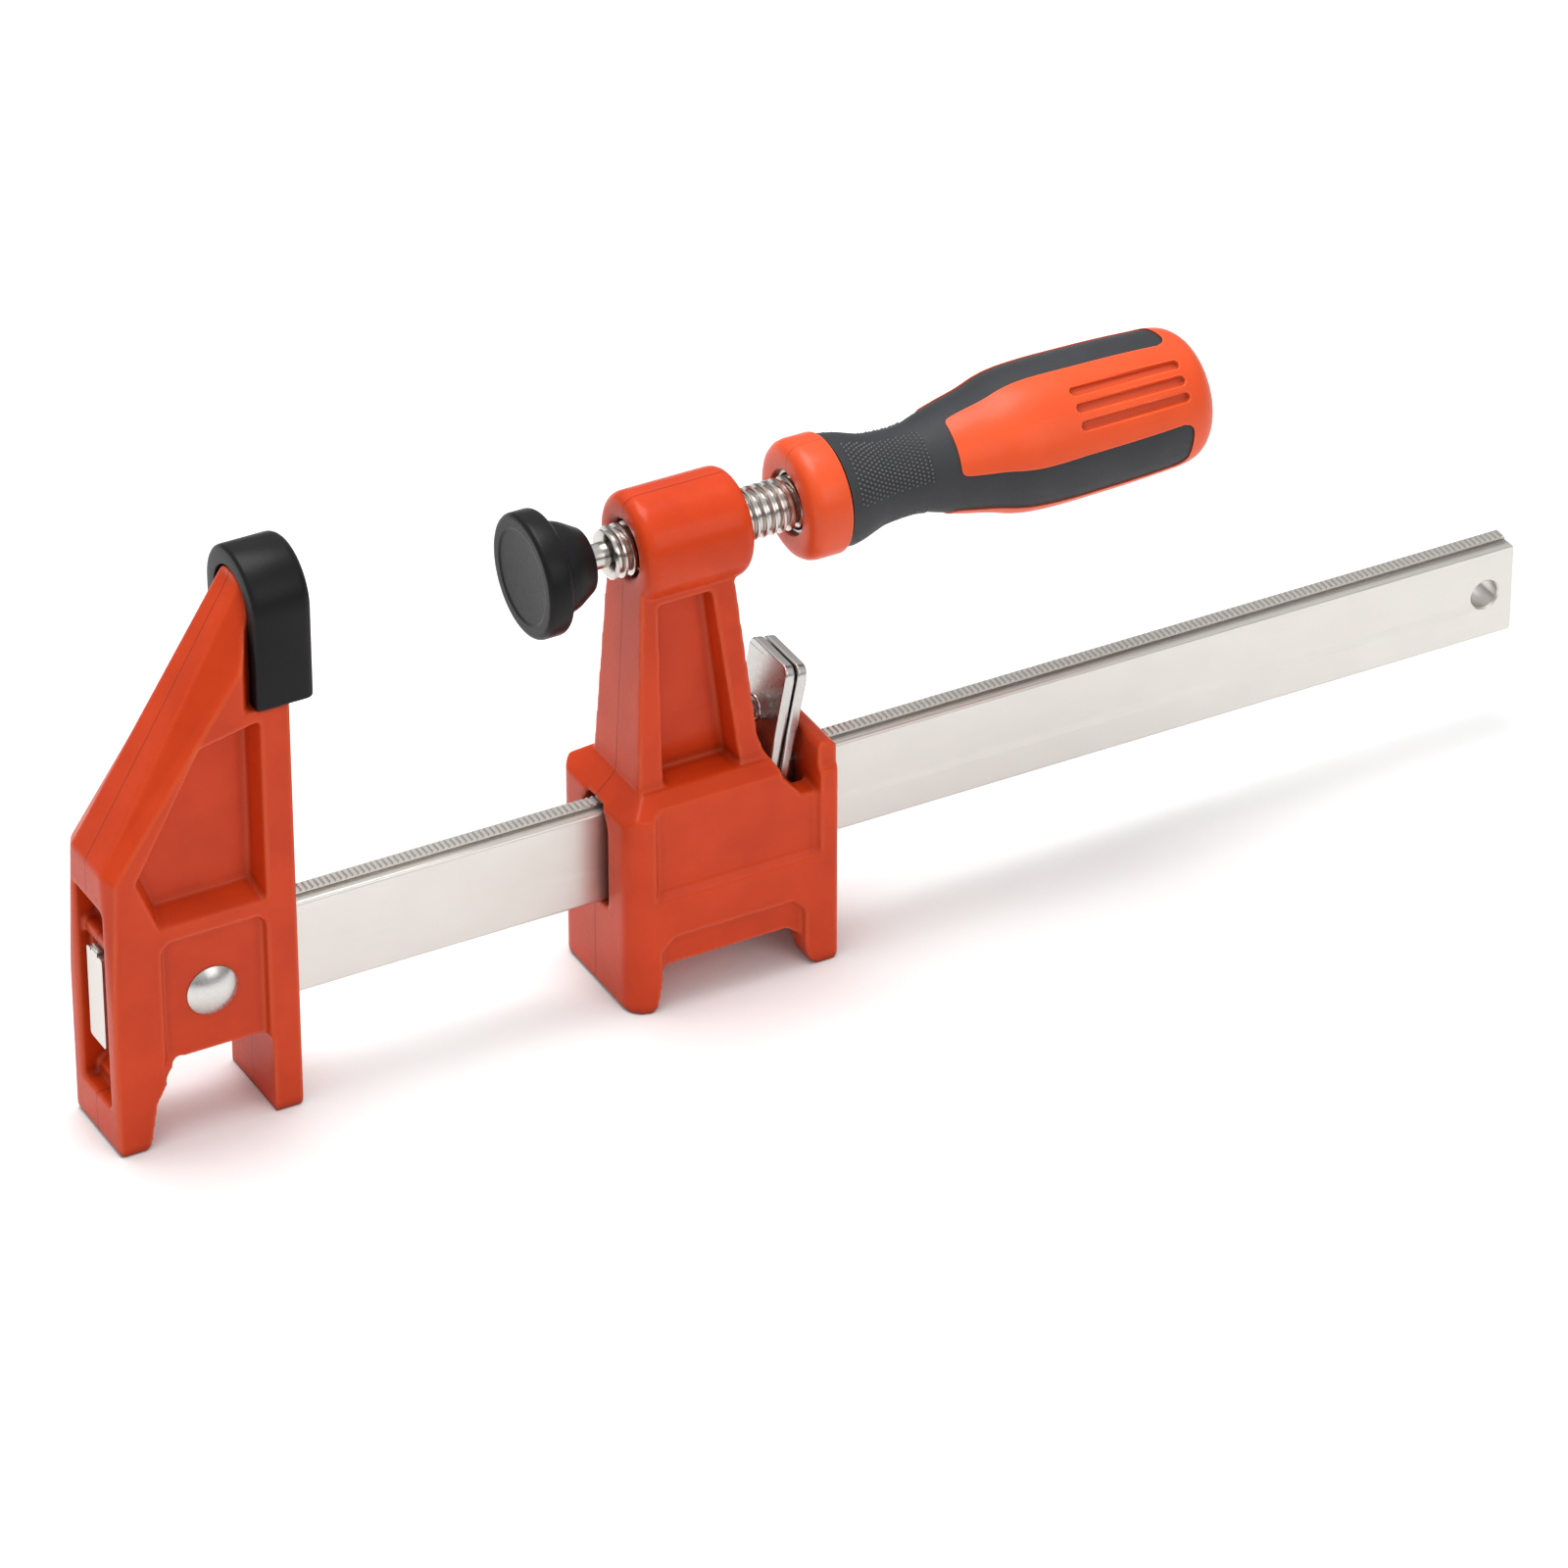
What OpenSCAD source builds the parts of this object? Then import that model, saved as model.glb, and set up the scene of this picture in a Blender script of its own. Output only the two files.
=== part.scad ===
// Quick release bar clamp: a flat bar, a fixed jaw riveted to one end, and a sliding jaw
// that two spring-loaded clutch plates lock on the bar while a hand screw does the clamping.
// X runs along the bar, Z is up, and the jaws stand on their feet at Z = 0.

/* [Bar] */
// Length of the bar
bar_l = 414; // [380:1:600]
// Thickness of the bar
bar_t = 9; // [7:0.5:10]
// Height of the bar up to its shoulders
bar_h = 27; // [25:0.5:29]
// Width of the serrated ridge on top
ridge_w = 3.4; // [2:0.2:4]
// Height of the ridge above the shoulders
ridge_h = 1.6; // [1:0.1:2]
// Radius of the hang hole
hang_r = 4; // [2:0.5:5]
// Underside of the bar above the bench
bar_z = 27.5; // [26:0.5:30]

/* [Fixed jaw] */
// Length of the fixed jaw along the bar
fj_l = 51.2; // [50:0.2:58]
// Width of the fixed jaw
fj_w = 26.6; // [25:0.2:30]
// Height of the upright end face, where the ramp begins
spine_z = 82; // [78:0.5:90]
// Length of the front foot
fj_foot_l = 9; // [8:0.5:10]
// Length of the rear foot
fj_heel_l = 7.9; // [6:0.1:9]
// Depth of the triangular recess in each side
side_recess = 7.6; // [4:0.2:8]
// Depth of the panel that holds the rivet
panel_recess = 2.4; // [1:0.2:3]
// Radius of the rivet shank
rivet_r = 4; // [3:0.5:5]
// Radius of the rivet head
rivet_head_r = 7.2; // [6:0.2:8]

/* [Jaw cap] */
// Length of the soft cap along the bar
cap_l = 16; // [14:0.5:18]
// Width of the cap
cap_w = 28; // [27:0.5:32]
// Thickness of the cap's clamping face
cap_face_t = 6.8; // [5:0.2:8]
// How far the cap reaches below the screw axis
cap_drop = 7.8; // [6:0.2:9]
// How far the cap reaches above the screw axis
cap_rise = 31.2; // [29:0.2:33]

/* [Sliding jaw] */
// Length of the sliding jaw's base
sj_l = 60.6; // [60:0.2:64]
// Width of the base
sj_w = 40; // [38:0.5:44]
// Height of the base
sj_h = 63; // [61:0.5:66]
// Clear height between the feet
sj_foot_h = 12.3; // [8:0.1:14]
// Radius of the rounded front corners
sj_corner_r = 6; // [3:0.5:8]
// Outer radius of the screw boss
boss_r = 14.5; // [12.5:0.5:16]
// Length of the screw boss
boss_l = 31; // [28:0.5:34]
// Height of the screw axis above the bar
throat = 72.2; // [70:0.2:80]
// Opening between the cap and the pad
opening = 63.8; // [30:0.2:180]

/* [Clutch] */
// Thickness of a clutch plate
plate_t = 2.8; // [2:0.1:3]
// Gap between the two clutch plates
plate_gap = 0.8; // [0.5:0.1:1]
// Width of a clutch plate
plate_w = 20; // [18:0.5:22]
// Lean of the locked plates from upright, in degrees
plate_lean = 11; // [8:0.5:12]
// Height of the plates above their pivot
lever_h = 26; // [22:0.5:32]
// Wire thickness of the clutch spring
wire_d = 0.9; // [0.7:0.1:1]
// Number of coils in the clutch spring
coils = 3.5; // [1.5:0.5:3.5]

/* [Screw] */
// Outside diameter of the screw thread
screw_d = 14; // [12:0.5:16]
// Thread pitch
pitch = 2.5; // [2:0.1:4]
// Distance from the pad's face to the boss
screw_out = 28.5; // [27:0.5:40]
// Free thread between the boss and the handle
screw_back = 15.5; // [8:0.5:30]
// Radius of the ball end
ball_r = 4.6; // [4:0.1:5]
// Radius of the stem behind the ball
stem_r = 3.4; // [2.5:0.1:3.5]

/* [Pad] */
// Radius of the pad's face
pad_r = 16.5; // [14:0.5:19]
// Length of the pad along the screw
pad_l = 17.3; // [17:0.1:20]
// Thickness of the pad's flange
flange_t = 7; // [5:0.5:8]

/* [Handle] */
// Length of the handle with its collar
handle_l = 119; // [110:1:150]
// Largest radius of the handle
handle_r = 19.5; // [18:0.5:21]
// Radius of the collar
collar_r = 16; // [14:0.5:18]
// Length of the collar
collar_l = 11; // [9:0.5:14]
// Width of each soft strip between the hard panels
strip_w = 15.4; // [14:0.2:17]
// Width of each soft strip next to the collar
strip_front_w = 9.9; // [8:0.1:12]
// Thickness of the soft grip
grip_t = 2.4; // [1.5:0.1:2.4]

/* [Fits] */
// Clearance between the bar and the sliding jaw
slide_gap = 0.35; // [0.3:0.05:0.5]
// Clearance between pieces that are pressed or moulded together
seat_gap = 0.05; // [0.02:0.01:0.1]
// Clearance round the screw thread in its boss
thread_gap = 0.35; // [0.3:0.05:0.5]

/* [Hidden] */
$fn = 64;
over = 1;                                   // overrun of every cut
tiny = 0.01;                                // smallest step between joined shapes

// Levels and places shared by several pieces
bar_x = 1.2;                                // bar end, set back in the end window
bar_end = bar_x + bar_l;
bar_top = bar_z + bar_h + ridge_h;
axis_z = bar_top + throat;
cap_front = fj_l + cap_face_t;
cap_back = cap_front - cap_l;
cap_low = axis_z - cap_drop;
pad_x = cap_front + opening;
boss_inset = 9.3;                           // boss face behind the base's front face
boss_x = pad_x + screw_out;
sj_x = boss_x - boss_inset;
collar_x = boss_x + boss_l + screw_back;
middle_x = bar_end / 2;                     // the part's origin lies under this point

// Bar section
shoulder_r = 1;
groove_w = 0.7;
groove_d = 0.5;
bar_corner_r = 1.5;
hang_inset = 8.5;
rim_chamfer = 0.5;

// Fixed jaw
edge_start = [0.4, 0.2];                    // spine's edge bevels, [across, down]: where they start,
edge_kink = [4.6, 2.2];                     // at the kink
edge_tip = [9, 9];                          // and at the tip
tuck_l = 3.5;                               // where the sides draw in to meet the cap
tongue_w = 18;                              // narrow tip inside the cap
tip_gap = 0.4;
ramp_step = 1.6;
cap_in_w = tongue_w + 2 * seat_gap;
cap_top = axis_z + cap_rise;
cap_in_top = cap_top - cap_w / 2 + cap_in_w / 2;
tongue_top = cap_in_top - tip_gap;
ramp_top = tongue_top - ramp_step;
web_t = 4;                                  // web below the bar
web_z = bar_z - web_t;
foot_lean = 2;
web_slope = 4.5;
web_slope_z = 10.5;
web_corner = 3;
web_corner_z = 2;
foot_round = 1.5;
fj_edge = 1;
pillar_w = 8.2;                             // rear pillar seen from the side
spine_rib = 13.5;                           // spine rib at the bar's height
spine_kink = 7.6;                           // and at the kink
shelf_h = 8.4;                              // shelf of the recess above the bar
shelf_z = bar_top + shelf_h;
shelf_rise = 3.5;
recess_kink = 2;
recess_kink_z = spine_z - recess_kink;
recess_rise = 32;
recess_shoulder = [26.3, spine_z + recess_rise];
recess_top = 11;
recess_top_z = axis_z - recess_top;
recess_draft = 1.3;
panel_band = 4;                             // band between shelf and panel
panel_top = shelf_z - panel_band;
panel_draft = 1;
panel_corner = 2.4;
window_w = 16.4;
window_low = 12.5;
window_inset = 11;
window_top = spine_z - window_inset;
window_d = 4.6;
ledge_t = 3.6;
ledge_x = 2.4;
core_w = 6.8;
core_x = 28;
upper_pocket_x = 6.6;
lower_pocket_x = 8.2;
lower_pocket_rise = 6;
bar_fit = 0.15;
rivet_x = 28;
rivet_z = bar_z + bar_h / 2;
rivet_head_h = 2.6;

// Jaw cap
cap_edge = 1.6;

// Sliding jaw
sj_back_edge = 1.6;
shoulder_w = 6;                             // sloping shoulder along the top of the base
shoulder_d = 5;
brow_l = 6.5;                               // sloping brow at the front of the base
brow_d = 5.3;
nose = 1;
sj_toe_l = 8;
sj_toe_lean = 3.6;
sj_heel_l = 8.5;
sj_heel_lean = 6;
col_front_lean = 3;
col_w_low = 26;
col_w_top = 19;
col_top = axis_z - boss_r / 2;
clutch_inset = 14.8;                        // first clutch plate ahead of the base's rear face
rock_h = 3.9;                               // its pivot's height above the bar
pivot = [sj_l - clutch_inset, bar_top + rock_h];
lever_room = 4.8;                           // room for the lever behind the column
col_back = pivot[0] - lever_room;
col_back_lean = 5.4;
col_back_top = col_back - col_back_lean;
saddle_h = 7.1;                             // saddle behind the column, above the base
saddle_top = sj_h + saddle_h;
saddle_l = 3.2;
saddle_rise = 2.1;
saddle_mid = [pivot[0] - saddle_l, sj_h + saddle_rise];
notch_d = 4.1;                              // notch in the side walls, below the bar's top
notch_z = bar_top - notch_d;
notch_l = 5.2;
notch_x = pivot[0] + notch_l;
post_t = 5.4;
post_h = 3.1;                               // rear post above the base
post_z = sj_h + post_h;
post_bevel = 1.5;
col_recess_x = 13.5;
col_recess_back = 5.6;
col_recess_cut = 1.8;                       // how far the column's recess runs under the boss
col_recess_top = boss_r - col_recess_cut;
col_recess_sink = 1.5;
col_recess_low = sj_h - col_recess_sink;
col_web = 9;
col_draft = 1.2;
base_panel_d = 2;
base_panel_low = 33;
base_panel_step = 2.6;
base_panel_front = 7.5;
base_panel_back = 5;
skirt_panel_top = 21.7;
skirt_panel_front = 9;
skirt_panel_back = 9.5;
skirt_corner = 4;
mouth_w = 14.4;                             // flared mouth of the bar slot
mouth_d = 5;
boss_edge = 3.5;
bore_bevel = 1.6;
chamber_l = 9.8;                            // clutch chamber ahead of the pivot, open below
chamber_front = pivot[0] - chamber_l;
chamber_side = 1;                           // room beside the plates
chamber_w = plate_w + 2 * chamber_side;
roof_gap = 1.2;
plate_room = 0.3;                           // room between the seat's edge and the leaning plate
rock_edge = [pivot[0] - plate_room, pivot[1]];
rock_low = [rock_edge[0] - roof_gap * tan(plate_lean), pivot[1] - roof_gap];
seat_r = 5;                                 // spring seat in the column
seat_reach = 4;                             // the seat's cut starts this far before its floor

// Clutch plates
lower_reach = 46.5;                         // from the pivot down to the plate's end
lever_corner = 3;
hole_gap = 0.15;
plate_step = plate_t + plate_gap;
lean_x = sin(plate_lean);
lean_z = cos(plate_lean);
spring_up = 10;                             // spring height on the lever
spring_r = 3.4;
spring_l = 8.2;

// Screw and swivel
screw_r = screw_d / 2;
thread_depth = 1.2;
thread_flat = 0.3;
ball_x = 9.5;                               // ball centre behind the pad's face
ball_gap = 0.3;
thread_x = 23.1;                            // first thread behind the pad's face
front_bevel = 1.4;
thread_in = 20;                             // thread hidden in the handle
tang_r = 5.5;
tang_end = 78;                              // tang end behind the collar's face
hub_r = 12.8;
hub_l = 12;
tail_r = 9.8;
pad_edge = 1.6;
ring_groove_r = 13.2;
ring_groove_w = 0.7;
ring_groove_d = 0.4;
socket_r = 8;
socket_x = 3.5;
socket_end = 11.4;
swivel_r = 6.6;
swivel_x = 13;
swivel_t = 1.8;
cavity_r = 7.7;
cavity_end = 16.1;
mouth_r = 5.1;
ring_fit = 0.06;

// Handle
collar_round = 4;
collar_back_round = 0.8;
collar_gap = 0.4;
sleeve_r = 9.2;
sleeve_gap = 0.4;
sleeve_bore = screw_r + sleeve_gap;
sleeve_in = 1.6;
sleeve_l = 9;
sleeve_lip = 8.7;
panel_x = 43.5;                               // first edge of the hard panels
panel_end = 109;
panel_rise = 0.4;
core_neck = 2.8;
slot_x = 76.5;                                // finger slots in each panel
slot_l = 32;
slot_w = 2.2;
slot_d = 0.9;
slot_turn = 14;
strips = 3;                                  // as many hard panels lie between them
strip_turn = -13;                            // first strip, turned from the top towards the near side
handle_steps = 4;
// Handle outline behind the collar: share of its length, share of its largest radius
handle_shares = [[0.092, 0.80], [0.138, 0.748], [0.175, 0.677], [0.204, 0.63], [0.262, 0.605],
    [0.30, 0.62], [0.342, 0.69], [0.40, 0.775], [0.456, 0.85], [0.506, 0.94], [0.555, 0.985],
    [0.625, 1], [0.70, 0.995], [0.78, 0.985], [0.86, 0.965], [0.925, 0.935], [0.96, 0.865],
    [0.985, 0.70], [1, 0.42]];

// Placing and shaping helpers

// Draws a side outline, given as [along the bar, up], with a width across the bar
module side_plate(points, width) {
    rotate([90, 0, 0]) linear_extrude(height = width, center = true) polygon(points);
}

// Turns a solid of revolution so that its axis runs along the screw, from x onwards
module on_screw(x) {
    translate([x, 0, axis_z]) rotate([0, 90, 0]) children();
}

// Round bar along the screw axis
module screw_rod(x, r, l) {
    on_screw(x) cylinder(r = r, h = l);
}

// Pocket in a side wall: its outline at the wall and at its floor, as [along, up]
module side_pocket(rim, floor, y_rim, y_floor) {
    n = len(rim);
    points = concat([for (p = rim) [p[0], y_rim, p[1]]], [for (p = floor) [p[0], y_floor, p[1]]]);
    rim_face = [for (i = [0 : n - 1]) i];
    floor_face = [for (i = [0 : n - 1]) 2 * n - 1 - i];
    walls = [for (i = [0 : n - 1]) let (j = (i + 1) % n) each [[i, n + i, n + j], [i, n + j, j]]];
    polyhedron(points, concat([rim_face], [floor_face], walls), convexity = 4);
}

// Same pocket in both sides
module side_pockets(rim, floor, y_rim, y_floor) {
    side_pocket(rim, floor, -y_rim, -y_floor);
    mirror([0, 1, 0]) side_pocket(rim, floor, -y_rim, -y_floor);
}

// Wedge that bevels an upper long edge of the fixed jaw: [across, down] at its start and its end
module bevel_cut(side, length, first, last) {
    half = fj_w / 2;
    function section(x, cut) = [[x, half - cut[0], 0], [x, half, -cut[1]], [x, half + over, -cut[1]],
        [x, half + over, over], [x, half - cut[0], over]];
    mirror([0, side < 0 ? 1 : 0, 0]) polyhedron(
        concat(section(0, first), section(length, last)),
        concat([[0, 1, 2, 3, 4], [9, 8, 7, 6, 5]],
            [for (i = [0 : 4]) let (j = (i + 1) % 5) each [[i, i + 5, j + 5], [i, j + 5, j]]]), convexity = 2);
}

// Rectangle with its four corners rounded
module rounded_rect(w, h, r) {
    translate([r, 0]) square([w - 2 * r, h]);
    translate([0, r]) square([w, h - 2 * r]);
    for (x = [r, w - r], y = [r, h - r]) translate([x, y]) circle(r = r);
}

// Bar

module bar_section() {
    translate([-bar_t / 2, 0]) rounded_rect(bar_t, bar_h, shoulder_r);
    translate([-ridge_w / 2, bar_h - shoulder_r]) square([ridge_w, ridge_h + shoulder_r]);
}

module bar() {
    color("silver") difference() {
        translate([bar_x, 0, bar_z]) rotate([90, 0, 90]) difference() {
            linear_extrude(height = bar_l) bar_section();
            for (side = [-1, 1]) translate([side * (ridge_w + groove_w) / 2, bar_h, -over])
                linear_extrude(height = bar_l + 2 * over)
                    square([groove_w, 2 * groove_d], center = true);
        }
        translate([bar_end - hang_inset, 0, bar_z + bar_h / 2]) rotate([90, 0, 0]) {
            cylinder(r = hang_r, h = bar_t + 2 * over, center = true);
            for (side = [0, 1]) mirror([0, 0, side]) translate([0, 0, bar_t / 2 - rim_chamfer])
                cylinder(r1 = hang_r, r2 = hang_r + rim_chamfer + over, h = rim_chamfer + over);
        }
        translate([rivet_x, 0, rivet_z]) rotate([90, 0, 0])
            cylinder(r = rivet_r + seat_gap, h = bar_t + 2 * over, center = true);
        for (side = [0, 1]) translate([bar_end, 0, bar_z + side * bar_h]) mirror([0, 0, side])
            rotate([90, 0, 0]) linear_extrude(height = bar_t + 2 * over, center = true)
                difference() {
                    translate([-bar_corner_r, -over]) square([bar_corner_r + over, bar_corner_r + over]);
                    translate([-bar_corner_r, bar_corner_r]) circle(r = bar_corner_r);
                }
    }
}

// Fixed jaw

module fixed_jaw_outline() {
    heel_x = fj_l - fj_heel_l;
    side_plate([[fj_edge, 0], [fj_foot_l - foot_round, 0], [fj_foot_l, foot_round],
        [fj_foot_l + foot_lean, web_z - web_slope_z], [fj_foot_l + foot_lean + web_slope, web_z - web_corner_z],
        [fj_foot_l + foot_lean + web_slope + web_corner, web_z], [heel_x - foot_round, web_z],
        [heel_x, web_z - foot_round], [heel_x, 0], [fj_l - fj_edge, 0], [fj_l, fj_edge],
        [fj_l, cap_top], [cap_back, cap_top], [cap_back, ramp_top], [0, spine_z], [0, fj_edge]], fj_w);
}

// Bevels along both edges of the ramp, wider towards the tip, and of the upright below it
module spine_bevels() {
    ramp_turn = atan2(ramp_top - spine_z, cap_back);
    ramp_l = norm([cap_back, ramp_top - spine_z]);
    for (side = [-1, 1]) {
        translate([0, 0, spine_z]) rotate([0, -ramp_turn, 0])
            bevel_cut(side, ramp_l + edge_tip[1], edge_kink, edge_tip);
        translate([0, 0, spine_z / 2]) rotate([0, -90, 0]) bevel_cut(side, spine_z / 2, edge_start, edge_kink);
    }
}

// Leaves the narrow arched tongue that the cap slips over
module tongue_cut() {
    translate([cap_back, 0, 0]) rotate([90, 0, 90]) linear_extrude(height = cap_l) difference() {
        translate([-fj_w, cap_low]) square([2 * fj_w, cap_top]);
        arch(tongue_w, cap_low - over, tongue_top);
    }
    for (side = [0, 1]) mirror([0, side, 0]) translate([0, 0, cap_low]) linear_extrude(height = cap_top)
        polygon([[cap_back - tuck_l, fj_w / 2], [cap_back, tongue_w / 2], [cap_back + over, fj_w / 2 + over],
            [cap_back - tuck_l, fj_w / 2 + over]]);
}

module jaw_side_recess() {
    back = fj_l - pillar_w;
    rim = [[spine_rib, shelf_z], [spine_kink, recess_kink_z], recess_shoulder, [back, recess_top_z],
        [back, shelf_z]];
    floor = [[spine_rib + recess_draft, shelf_z + shelf_rise],
        [spine_kink + 2 * recess_draft, recess_kink_z + recess_draft / 4],
        recess_shoulder + [recess_draft, -recess_draft],
        [back - recess_draft, recess_top_z - recess_draft], [back - recess_draft, shelf_z + shelf_rise]];
    side_pockets(rim, floor, fj_w / 2 + tiny, fj_w / 2 - side_recess);
}

module rivet_panel() {
    back = fj_l - pillar_w;
    low = web_z - over;
    rim = [[spine_rib, low], [spine_rib, panel_top - panel_corner], [spine_rib + panel_corner, panel_top],
        [back - panel_corner, panel_top], [back, panel_top - panel_corner], [back, low]];
    floor = [[spine_rib + panel_draft, low],
        [spine_rib + panel_draft, panel_top - panel_corner - panel_draft / 2],
        [spine_rib + panel_corner + panel_draft / 2, panel_top - panel_draft],
        [back - panel_corner - panel_draft / 2, panel_top - panel_draft],
        [back - panel_draft, panel_top - panel_corner - panel_draft / 2], [back - panel_draft, low]];
    side_pockets(rim, floor, fj_w / 2 + tiny, fj_w / 2 - panel_recess);
}

// Cored end of the jaw, round the end of the bar
module end_window() {
    ledge_z = bar_top + bar_fit;
    side_plate([[-over, window_low], [window_d, window_low], [window_d, ledge_z], [-over, ledge_z]], window_w);
    side_plate([[-over, ledge_z - tiny], [ledge_x, ledge_z - tiny], [ledge_x, ledge_z + ledge_t],
        [upper_pocket_x, ledge_z + ledge_t], [upper_pocket_x, window_top], [-over, window_top]], window_w);
    side_plate([[0, ledge_z + ledge_t], [core_x, ledge_z + ledge_t], [core_x, window_top],
        [0, window_top]], core_w);
    side_plate([[-over, window_low], [0, window_low], [lower_pocket_x, window_low + lower_pocket_rise],
        [lower_pocket_x, bar_z - 2 * bar_fit], [-over, bar_z - 2 * bar_fit]], window_w);
}

module fixed_jaw() {
    color("orangered") difference() {
        fixed_jaw_outline();
        spine_bevels();
        tongue_cut();
        jaw_side_recess();
        rivet_panel();
        end_window();
        translate([-over, -bar_t / 2 - bar_fit, bar_z - bar_fit])
            cube([fj_l + 2 * over, bar_t + 2 * bar_fit, bar_h + ridge_h + 2 * bar_fit]);
        translate([rivet_x, 0, rivet_z]) rotate([90, 0, 0])
            cylinder(r = rivet_r + seat_gap, h = fj_w + over, center = true);
    }
}

module rivet_head() {
    dome_r = (rivet_head_r * rivet_head_r + rivet_head_h * rivet_head_h) / (2 * rivet_head_h);
    rotate_extrude() intersection() {
        translate([0, rivet_head_h - dome_r]) circle(r = dome_r);
        square([rivet_head_r, rivet_head_h]);
    }
}

module jaw_rivet() {
    seat = fj_w / 2 - panel_recess;
    color("gainsboro") translate([rivet_x, 0, rivet_z]) {
        rotate([90, 0, 0]) cylinder(r = rivet_r, h = 2 * seat, center = true);
        for (turn = [90, -90]) rotate([turn, 0, 0]) translate([0, 0, seat]) rivet_head();
    }
}

// Arch seen along the bar, as wide as w, from z_low up to z_top
module arch(w, z_low, z_top) {
    translate([-w / 2, z_low]) square([w, z_top - w / 2 - z_low]);
    translate([0, z_top - w / 2]) circle(r = w / 2);
}

module arch_along(x, l, w, z_low, z_top) {
    translate([x, 0, 0]) rotate([90, 0, 90]) linear_extrude(height = l) arch(w, z_low, z_top);
}

module jaw_cap() {
    color("dimgray") difference() {
        union() {
            arch_along(cap_back, cap_l - cap_edge, cap_w, cap_low, cap_top);
            arch_along(cap_back + cap_edge, cap_l - cap_edge, cap_w - 2 * cap_edge, cap_low + cap_edge,
                cap_top - cap_edge);
            arch_along(cap_back, cap_l - cap_edge / 3, cap_w - cap_edge, cap_low + cap_edge / 2,
                cap_top - cap_edge / 2);
        }
        arch_along(cap_back - over, fj_l + seat_gap - cap_back + over, cap_in_w, cap_low - over, cap_in_top);
    }
}

// Sliding jaw

module base_plan() {
    r = sj_corner_r;
    translate([sj_x + r, -sj_w / 2]) square([sj_l - r - sj_back_edge, sj_w]);
    translate([sj_x, -sj_w / 2 + r]) square([sj_l, sj_w - 2 * r]);
    for (side = [-1, 1]) {
        translate([sj_x + r, side * (sj_w / 2 - r)]) circle(r = r);
        translate([sj_x + sj_l - r, side * (sj_w / 2 - r / 2 - sj_back_edge) - r / 2]) square([r, r]);
        translate([sj_x + sj_l - sj_back_edge, side * (sj_w / 2 - sj_back_edge)]) circle(r = sj_back_edge);
    }
}

// Side outline of base and column, with the saddle for the clutch plates
module jaw_profile(width) {
    side_plate([for (p = [[fj_edge, 0], [sj_toe_l - foot_round, 0], [sj_toe_l, foot_round],
        [sj_toe_l + sj_toe_lean / 2, sj_foot_h - foot_round], [sj_toe_l + sj_toe_lean, sj_foot_h],
        [sj_l - sj_heel_l - sj_heel_lean, sj_foot_h],
        [sj_l - sj_heel_l - sj_heel_lean / 3, sj_foot_h - 2 * foot_round],
        [sj_l - sj_heel_l, foot_round], [sj_l - sj_heel_l + foot_round, 0], [sj_l - fj_edge, 0],
        [sj_l, fj_edge], [sj_l, post_z - post_bevel], [sj_l - post_bevel, post_z],
        [sj_l - post_t + fj_edge, post_z], [sj_l - post_t, post_z - fj_edge], [sj_l - post_t, notch_z],
        [notch_x, notch_z], [pivot[0] + plate_t, notch_z + plate_t], rock_low, rock_edge, saddle_mid,
        [col_back, saddle_top], [col_back_top, col_top],
        [brow_l + col_front_lean, col_top], [brow_l, sj_h], [nose, sj_h - brow_d], [0, sj_h - brow_d - nose],
        [0, fj_edge]]) p + [sj_x, 0]], width);
}

module base_block() {
    intersection() {
        linear_extrude(height = post_z) base_plan();
        jaw_profile(sj_w);
        rotate([90, 0, 90]) linear_extrude(height = bar_end + sj_l)
            polygon([[-sj_w / 2, 0], [sj_w / 2, 0], [sj_w / 2, sj_h - shoulder_d],
                [sj_w / 2 - shoulder_w, sj_h], [-sj_w / 2 + shoulder_w, sj_h], [-sj_w / 2, sj_h - shoulder_d]]);
    }
    intersection() {
        jaw_profile(sj_w);
        translate([sj_x + sj_l - post_t, -sj_w / 2 + post_bevel, sj_foot_h])
            cube([post_t, sj_w - 2 * post_bevel, post_z - sj_foot_h]);
    }
}

module column() {
    intersection() {
        jaw_profile(sj_w);
        rotate([90, 0, 90]) linear_extrude(height = bar_end + sj_l)
            polygon([[-col_w_low / 2, sj_h - shoulder_w], [col_w_low / 2, sj_h - shoulder_w],
                [col_w_top / 2, col_top], [-col_w_top / 2, col_top]]);
    }
}

module boss() {
    on_screw(boss_x) rotate_extrude() {
        square([boss_r - boss_edge, boss_l]);
        translate([0, boss_edge]) square([boss_r, boss_l - 2 * boss_edge]);
        for (z = [boss_edge, boss_l - boss_edge]) translate([boss_r - boss_edge, z]) circle(r = boss_edge);
    }
}

module column_recess() {
    top = axis_z - col_recess_top;
    front = sj_x + col_recess_x;
    share = (saddle_top - sj_h) / (col_top - saddle_top);
    back_low = sj_x + col_back + (col_back - col_back_top) * share - col_recess_back;
    back_top = sj_x + col_back_top - col_recess_back;
    rim = [[front, col_recess_low], [front, top], [back_top, top], [back_low, col_recess_low]];
    floor = [[front + col_draft, col_recess_low + col_draft], [front + col_draft, top - col_draft],
        [back_top - col_draft, top - col_draft], [back_low - col_draft, col_recess_low + col_draft]];
    side_pockets(rim, floor, col_w_low / 2 + over, col_web / 2);
}

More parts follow.
